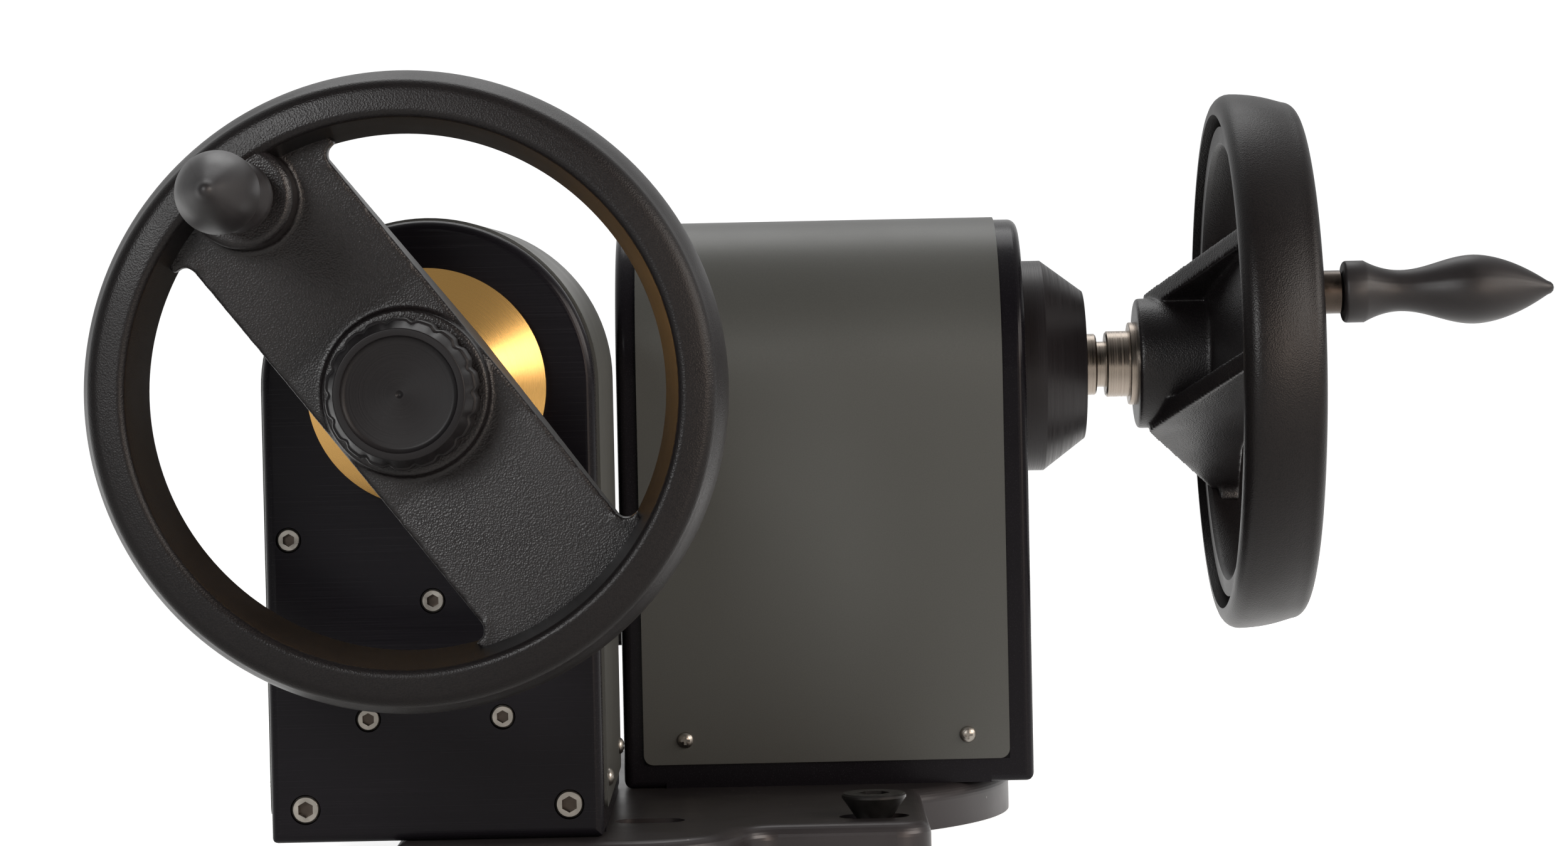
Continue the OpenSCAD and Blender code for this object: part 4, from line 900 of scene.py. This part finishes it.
@dataclass
class Grip:
    """Moulded revolving grip. Sizes in millimetres, x from the grip's foot."""

    place: Place
    foot: float = 112.4  # from the front plate's face
    length: float = 76.0
    belly_r: float = 12.4
    belly_at: float = 47.2
    neck_r: float = 7.4
    neck_at: float = 20.8
    collar_r: float = 11.1
    collar_l: float = 7.5
    collar_edge: float = 1.5
    taper: float = 1.8  # above 1, the grip narrows late towards its tip
    tip_r: float = 2.6
    tip_l: float = 2.5
    nose: tuple[Point2, ...] = ((2.0, 1.1), (1.2, 0.35), (0.0, 0.0))  # radius, and x from the end
    bore_r: float = 4.55
    bore_l: float = 42.0
    skin_l: float = 0.5  # vertices this far outside the bore are on the outer skin
    seam: float = 0.12
    seam_share: float = 0.02  # of the radius, within which a vertex is on the parting plane

    def profile(self) -> list[Point2]:
        """Profile of the bore and the outside.

        Returns:
            Points of radius and x.
        """
        collar = (self.collar_r, self.collar_l)
        neck = (self.neck_r, self.neck_at)
        belly = (self.belly_r, self.belly_at)
        tip = (self.tip_r, self.length - self.tip_l)
        edge = self.collar_edge
        return ([(0.0, self.bore_l), (self.bore_r, self.bore_l), (self.bore_r, 0.0)]
                + arc((self.collar_r - edge, edge), edge, 270, 360) + [collar]
                + swell(collar, neck, lambda t: 1.0 - (1.0 - t) ** 2, 12)
                + swell(neck, belly, ease, 18)
                + swell(belly, tip, lambda t: t ** self.taper, 14)
                + [(r, self.length - x) for r, x in self.nose])

    def build(self, material: Material) -> None:
        """Model the grip with the tool's parting line along it.

        Args:
            material: its finish.
        """
        turn, orbit = self.place.handle()
        form = Form()
        for vert in form.spin(self.profile(), steps=72):
            out = math.hypot(vert.co.y, vert.co.z)
            if out > self.bore_r + self.skin_l and abs(vert.co.z) < self.seam_share * out:
                vert.co.y *= 1.0 + self.seam / out
        bmesh.ops.translate(form.bm, verts=form.bm.verts, vec=Vector((self.foot, orbit, 0.0)))
        grip = form.piece(self.place.node("grip_moulding"), self.place.shaft(turn), sharp=45.0)
        show(grip, self.place.node("handle"), "grip_polymer", material, self.place.node("grip"))


@dataclass
class RetainingKnob:
    """Fluted retaining knob with a turned face. Sizes in millimetres, x from the knob's back."""

    place: Place
    back: float = 89.4  # from the front plate's face
    length: float = 24.0
    radius: float = 23.4
    foot_l: float = 2.0
    foot_step: float = 3.4  # how much narrower the back is than the band
    band_end: float = 17.0
    band_rows: int = 5
    edge: float = 0.9
    edge_turn: float = 0.3  # share of the edge at which its rounding turns
    land_r: float = 19.8
    land_edge: float = 0.5
    dish_r: float = 18.0
    dish_depth: float = 2.0
    dish_edge: float = 1.9
    dish_top: float = 0.1  # from the dish's edge to the knob's end
    mark: tuple[Point2, ...] = ((1.2, 0.0), (0.6, 0.5), (0.0, 0.8))  # radius and depth of the centre mark
    flutes: int = 18
    flute_depth: float = 1.0
    flute_shape: float = 1.4  # above 1, the flutes are narrower than the ridges
    flute_facets: int = 10
    margin: float = 0.1  # within which a vertex counts to the band
    bore_r: float = 6.05
    bore_l: float = 17.0

    def profile(self) -> list[Point2]:
        """Profile of the bore and the outside.

        Returns:
            Points of radius and x.
        """
        end = self.length
        floor = end - self.dish_depth
        band = self.band_end - self.edge - self.foot_l
        turn = self.edge_turn * self.edge
        foot = [(0.0, self.bore_l), (self.bore_r, self.bore_l), (self.bore_r, 0.0),
                (self.radius - self.foot_step, 0.0)]
        side = [(self.radius, self.foot_l + k * band / self.band_rows) for k in range(self.band_rows + 1)]
        brow = [(self.radius - turn, self.band_end - turn), (self.radius - self.edge, self.band_end)]
        land = arc((self.land_r, end - self.land_edge), self.land_edge, 20, 90, 4)
        wall = arc((self.dish_r - self.dish_edge, end - self.dish_top), self.dish_edge, 0, -85, 6)
        return foot + side + brow + land + wall + [(r, floor - depth) for r, depth in self.mark]

    def build(self, material: Material) -> None:
        """Model the knob, with flutes pressed into its band.

        Args:
            material: its finish.
        """
        form = Form()
        for vert in form.spin(self.profile(), steps=self.flutes * self.flute_facets):
            out = math.hypot(vert.co.y, vert.co.z)
            if out > self.radius - self.edge - self.margin and vert.co.x < self.band_end + self.margin:
                wave = math.cos(self.flutes * math.atan2(vert.co.z, vert.co.y))
                dip = self.flute_depth * max(0.0, wave) ** self.flute_shape
                vert.co.y *= 1.0 - dip / out
                vert.co.z *= 1.0 - dip / out
        bmesh.ops.translate(form.bm, verts=form.bm.verts, vec=Vector((self.back, 0.0, 0.0)))
        knob = form.piece(self.place.node("knob_turning"), self.place.shaft(), sharp=30.0)
        show(knob, self.place.node("knob"), "knob_polymer", material, self.place.node("retaining_knob"))


@dataclass
class SocketInsert:
    """Insert, contacts and flange screws of a signal socket. Sizes in millimetres."""

    place: Place
    height: float = -88.0  # of the socket's middle, from the shaft
    floor: float = -152.1  # of the socket, from the front plate's face
    insert_r: float = 8.1
    insert_t: float = 0.9
    insert_edge: Point2 = (0.5, 0.4)
    pins: int = 6
    pin_circle: float = 4.6
    pin_r: float = 0.8
    pin_l: float = 7.0
    pin_root: float = 0.5  # how deep in the insert the contacts start
    pin_nose: tuple[Point2, ...] = ((0.8, 0.7), (0.4, 0.15), (0.0, 0.0))  # radius, and x from the tip
    screw_inset: float = 10.3
    screw_r: float = 1.7
    screw_h: float = 1.1
    screw_dome: tuple[float, ...] = (0.0, 0.35, 0.7, 1.05, 1.3)  # angles up the dome, in radians

    def build(self, insert: Material, contact: Material, screw: Material) -> None:
        """Model the insert, its contacts and the screws.

        Args:
            insert: finish of the insert.
            contact: finish of the contacts.
            screw: finish of the screws.
        """
        shaft = self.place.shaft()
        disc = Form()
        disc.rod(self.insert_r, self.floor, self.floor - self.insert_t, self.insert_edge, steps=48,
                 at=(0.0, 0.0, self.height))
        root = self.floor - self.pin_root
        tip = self.floor - self.pin_l
        pin = [(0.0, root), (self.pin_r, root)] + [(r, tip + x) for r, x in self.pin_nose]
        pins = Form()
        for y, z in arc((0.0, self.height), self.pin_circle, 0, 360, self.pins)[:-1]:
            pins.spin(pin, steps=16, at=(0.0, y, z))
        dome = [(self.screw_r * math.cos(a), self.floor - self.screw_h * math.sin(a))
                for a in self.screw_dome]
        head = [(0.0, self.floor)] + dome + [(0.0, self.floor - self.screw_h)]
        heads = Form()
        for y in (-self.screw_inset, self.screw_inset):
            for z in (-self.screw_inset, self.screw_inset):
                heads.spin(head, steps=24, at=(0.0, y, self.height + z))
        name = self.place.node
        show(disc.piece(name("socket_insert"), shaft), "housing", "socket_shell", insert)
        show(pins.piece(name("socket_contacts"), shaft), "housing", "pinion_brass", contact)
        show(heads.piece(name("socket_screws"), shaft), "housing", "plated_steel", screw)


@dataclass
class SocketShadePlugs:
    """Painted shade: dark hexagons on the floors of the end plates' hexagon sockets. Sizes in millimetres
    from the shaft.
    """

    place: Place
    side: Point2 = (47.1, -49.5)
    middle: Point2 = (0.0, -70.45)
    low: Point2 = (22.2, -109.3)
    foot: Point2 = (43.6, -138.8)
    plate_back: float = -149.1
    small: Point2 = (2.1, 3.15)  # radius and depth of a socket
    large: Point2 = (2.74, 3.75)
    # thickness of each dark hexagon of painted shade
    fill: float = 0.9

    def build(self, material: Material) -> None:
        """Model a dark hexagon on the floor of each socket, as painted shade in place of the socket's
        shadow.

        Args:
            material: its finish.
        """
        ends = [(self.side, self.small, BOTH), (self.foot, self.large, BOTH)]
        fronts = [(self.middle, self.small, (1,)), (self.low, self.small, BOTH)] + ends
        form = Form()
        for face, inward, heads in ((0.0, -1, fronts), (self.plate_back, 1, ends)):
            for (out, up), (radius, depth), sides in heads:
                floor = face + inward * depth
                top = floor - inward * self.fill
                for side in sides:
                    hexagon = arc((side * out, up), radius, 90, 390, 5)
                    form.prism(hexagon, min(floor, top), max(floor, top), Axis.X)
        # painted shade: the dark hexagons stand in for the shadow at the bottom of each socket
        piece = form.piece(self.place.node("screw_sockets"), self.place.shaft())
        show(piece, "housing", "black_oxide_steel", material)


@dataclass
class Gearbox:
    """One unit: its carried-over solids and its modelled pieces."""

    place: Place
    finishes: dict[str, Material]

    def turned(self, name: str, colour: str, deep: str, **more: float) -> Material:
        """A turned finish round this unit's shaft.

        Args:
            name: the material's name.
            colour: hex code of the ridges.
            deep: hex code of the grooves.
            more: other fields of the finish.

        Returns:
            The material.
        """
        own = f"{name}_{self.place.unit.value}"
        centre = self.place.spot("wheel_spin")
        return TurnedMetal(own, colour, deep, self.place.along(), centre, **more).material()

    def boss(self) -> Material:
        """Finish of the bearing boss, which is gold on the tilt unit and black on the pan unit.

        Returns:
            The material.
        """
        if self.place.unit is Unit.TILT:
            return self.turned("gold_anodised_turned", "#d3a662", "#cb9d5a", roughness=0.25, stretch=0.7,
                               ring_mm=0.22, groove=0.03)
        return self.turned("black_anodised_turned", "#242123", "#1e1b1c", metallic=0.15, roughness=0.32,
                           ring_mm=0.25, gloss=0.32, groove=0.03)

    def dress_solids(self) -> None:
        """Give every solid of the unit its finish."""
        across = Axis.X if self.place.along() is Axis.Y else Axis.Y
        plate = BrushedAnodised(f"black_anodised_brushed_{self.place.unit.value}", across).material()
        steel = self.turned("stainless_steel_turned", "#aca196", "#81776d", stretch=0.5, groove=0.1)
        shared = self.finishes
        groups = {
            "front_plate rear_plate floor_plate": plate,
            "cover": shared["cover"],
            "bearing_boss": self.boss(),
            "drive_shaft hub_bush": steel,
            "handle_pin": shared["burnished"],
            "boss_screws rod_screws floor_screws cover_screws gear_plate_screws": shared["nickel"],
            "front_bearing rear_bearing drive_gear gear_clip drive_key": shared["ground"],
            "spacer_rods gear_plate encoder": shared["alloy"],
            "signal_lead": shared["sheath"],
            "signal_socket": shared["shell"],
            "encoder_pinion": shared["brass"],
        }
        for pieces, material in groups.items():
            for piece in pieces.split():
                dress(frame["nodes"][self.place.node(piece)], material)

    def build(self) -> None:
        """Dress the solids and model the visible soft-edged pieces."""
        self.dress_solids()
        shared = self.finishes
        knob = self.turned("nylon_moulded_turned", "#1d1b1c", "#141314", metallic=0.0, roughness=0.4,
                           stretch=0.3, ring_mm=0.4, gloss=0.16)
        Handwheel(self.place).build(shared["rim"], shared["wheel"])
        Grip(self.place).build(shared["grip"])
        RetainingKnob(self.place).build(knob)
        # dark hexagons in the screw sockets: painted shade in place of their shadow
        SocketShadePlugs(self.place).build(shared["burnished"])
        SocketInsert(self.place).build(shared["sheath"], shared["brass"], shared["nickel"])


@dataclass
class Base:
    """Base plate with its bolt and screws."""

    finishes: dict[str, Material]

    def build(self) -> None:
        """Dress the base plate's solids."""
        for node, finish in {"base_plate": "base", "clamp_bolt": "oxide", "base_screws": "nickel"}.items():
            dress(frame["nodes"][node], self.finishes[finish])


@dataclass(frozen=True)
class Lamp:
    """A soft box. Places and sizes in metres."""

    name: str
    spot: Point3
    aim: Point3
    size: Point2
    watts: float
    colour: str = WHITE

    def hang(self) -> None:
        """Put the lamp at its spot, facing its aim."""
        data = bpy.data.lights.new(self.name, "AREA")
        data.shape = "RECTANGLE"
        data.size, data.size_y = self.size
        data.energy = self.watts
        data.color = linear(self.colour)[:3]
        lamp = bpy.data.objects.new(self.name, data)
        lamp.location = self.spot
        lamp.rotation_euler = (Vector(self.aim) - Vector(self.spot)).to_track_quat("-Z", "Y").to_euler()
        bpy.context.scene.collection.objects.link(lamp)


@dataclass
class Studio:
    """Floor, light and camera at the photograph's angle. Places and sizes in metres."""

    eye: Point3 = (0.0125, -1.626, 0.190)
    image: tuple[int, int] = (2500, 1349)
    focal_px: float = 6911.0
    vanish: Point2 = (1224.0, 485.0)  # pixel where lines along y meet
    roll: float = -0.0209
    sensor_mm: float = 36.0
    sight: float = 50.0
    floor_half: float = 8.0
    floor_drop: float = 0.0002  # keeps the floor clear of the base plate's underside
    fade: Point2 = (-0.6, 0.8)  # y of a direction in which the room is dim, and bright
    dim: float = 0.03
    bright: float = 0.75
    backdrop: float = 1.1
    lamps: tuple[Lamp, ...] = (
        Lamp("key", (-0.6, -1.51, 0.62), (-0.05, -0.2, 0.16), (0.45, 0.45), 12.0),
        Lamp("right", (1.25, -0.75, 0.68), (0.0, -0.15, 0.16), (1.2, 0.6), 17.0, "#fff6ee"),
        Lamp("fill", (0.9, -1.5, 0.35), (0.15, -0.1, 0.16), (0.5, 0.5), 6.0, "#ffe9d8"),
        Lamp("top", (0.0, 0.9, 1.6), (0.0, 0.0, 0.2), (1.2, 0.8), 7.0),
    )

    def camera(self) -> None:
        """Put the camera where the photograph was taken from."""
        width, height = self.image
        data = bpy.data.cameras.new("camera")
        data.sensor_width = self.sensor_mm
        data.lens = self.sensor_mm * self.focal_px / width
        data.clip_end = self.sight
        camera = bpy.data.objects.new("camera", data)
        bpy.context.scene.collection.objects.link(camera)
        yaw = -math.atan((width / 2 - self.vanish[0]) / self.focal_px)
        pitch = -math.atan((height / 2 - self.vanish[1]) / self.focal_px)
        level = Matrix.Rotation(yaw, 4, "Z") @ Matrix.Rotation(math.pi / 2 + pitch, 4, "X")
        camera.matrix_world = Matrix.Translation(self.eye) @ level @ Matrix.Rotation(self.roll, 4, "Z")
        bpy.context.scene.camera = camera

    def room(self) -> None:
        """Surround the set: a white backdrop, and a room that is dim on the photographer's side."""
        world = bpy.data.worlds.new("studio")
        world.use_nodes = True
        tree = world.node_tree
        tree.nodes.clear()
        way = add(tree, "SeparateXYZ", {0: add(tree, "TexCoord").outputs["Generated"]})
        glow = add(tree, "MapRange", {"Value": way.outputs["Y"], "From Min": self.fade[0],
                                      "From Max": self.fade[1], "To Min": self.dim, "To Max": self.bright})
        walls = add(tree, "Background", {"Color": WHITE, "Strength": glow.outputs["Result"]})
        backdrop = add(tree, "Background", {"Color": WHITE, "Strength": self.backdrop})
        seen = add(tree, "LightPath").outputs["Is Camera Ray"]
        both = add(tree, "MixShader", {0: seen, 1: walls.outputs[0], 2: backdrop.outputs[0]})
        add(tree, "OutputWorld", {"Surface": both.outputs["Shader"]})
        bpy.context.scene.world = world

    def build(self) -> None:
        """Set up floor, room, lamps and camera."""
        form = Form()
        bmesh.ops.create_grid(form.bm, x_segments=2, y_segments=2, size=self.floor_half)
        floor = form.piece("floor", Matrix.Translation((0.0, 0.0, -self.floor_drop)))
        dress(floor, OpalSheet("acrylic_sheet_backlit").material())
        self.room()
        bpy.context.scene.view_settings.view_transform = "Standard"
        for lamp in self.lamps:
            lamp.hang()
        self.camera()


def finishes() -> dict[str, Material]:
    """Finishes that both units share.

    Returns:
        Materials by a short name.
    """
    shared = {
        "wheel": GrainedPolymer("nylon_moulded_grained"),
        "rim": GrainedPolymer("nylon_moulded_fine_grain", "#0f0d0e", "#191616", grain_mm=0.5, depth_mm=0.08,
                              gloss=0.22),
        "grip": SatinPolymer("nylon_moulded_satin"),
        "cover": SatinCoat("sheet_aluminium_sprayed_satin"),
        "base": DustyAnodised("black_anodised_blasted"),
        "nickel": PlainMetal("steel_nickel_plated", "#b3aea6", "#8a857e", roughness=0.34),
        "burnished": PlainMetal("steel_burnished", "#5e554e", "#3f3833", roughness=0.32),
        "ground": PlainMetal("bearing_steel_ground", "#b9b8b5", "#8f8e8b", roughness=0.25),
        "oxide": PlainMetal("steel_black_oxide", "#302e2d", "#1a1918", metallic=0.7, roughness=0.36),
        "alloy": PlainMetal("aluminium_bead_blasted", "#a6a7a9", "#8b8c8f", roughness=0.5),
        "brass": PlainMetal("brass_machined", "#c9a35a", "#9a7838", roughness=0.28),
        "sheath": SatinPolymer("rubber_extruded", roughness=0.6),
        "shell": PlainMetal("aluminium_nickel_plated", "#8d8b87", "#65635f", roughness=0.35),
    }
    return {name: finish.material() for name, finish in shared.items()}


def main() -> None:
    """Build every piece, and the studio."""
    logging.basicConfig(level=logging.INFO, format="%(name)s: %(message)s")
    shared = finishes()
    Base(shared).build()
    for unit in Unit:
        Gearbox(Place(unit), shared).build()
    Studio().build()


if __name__ == "__main__":
    main()
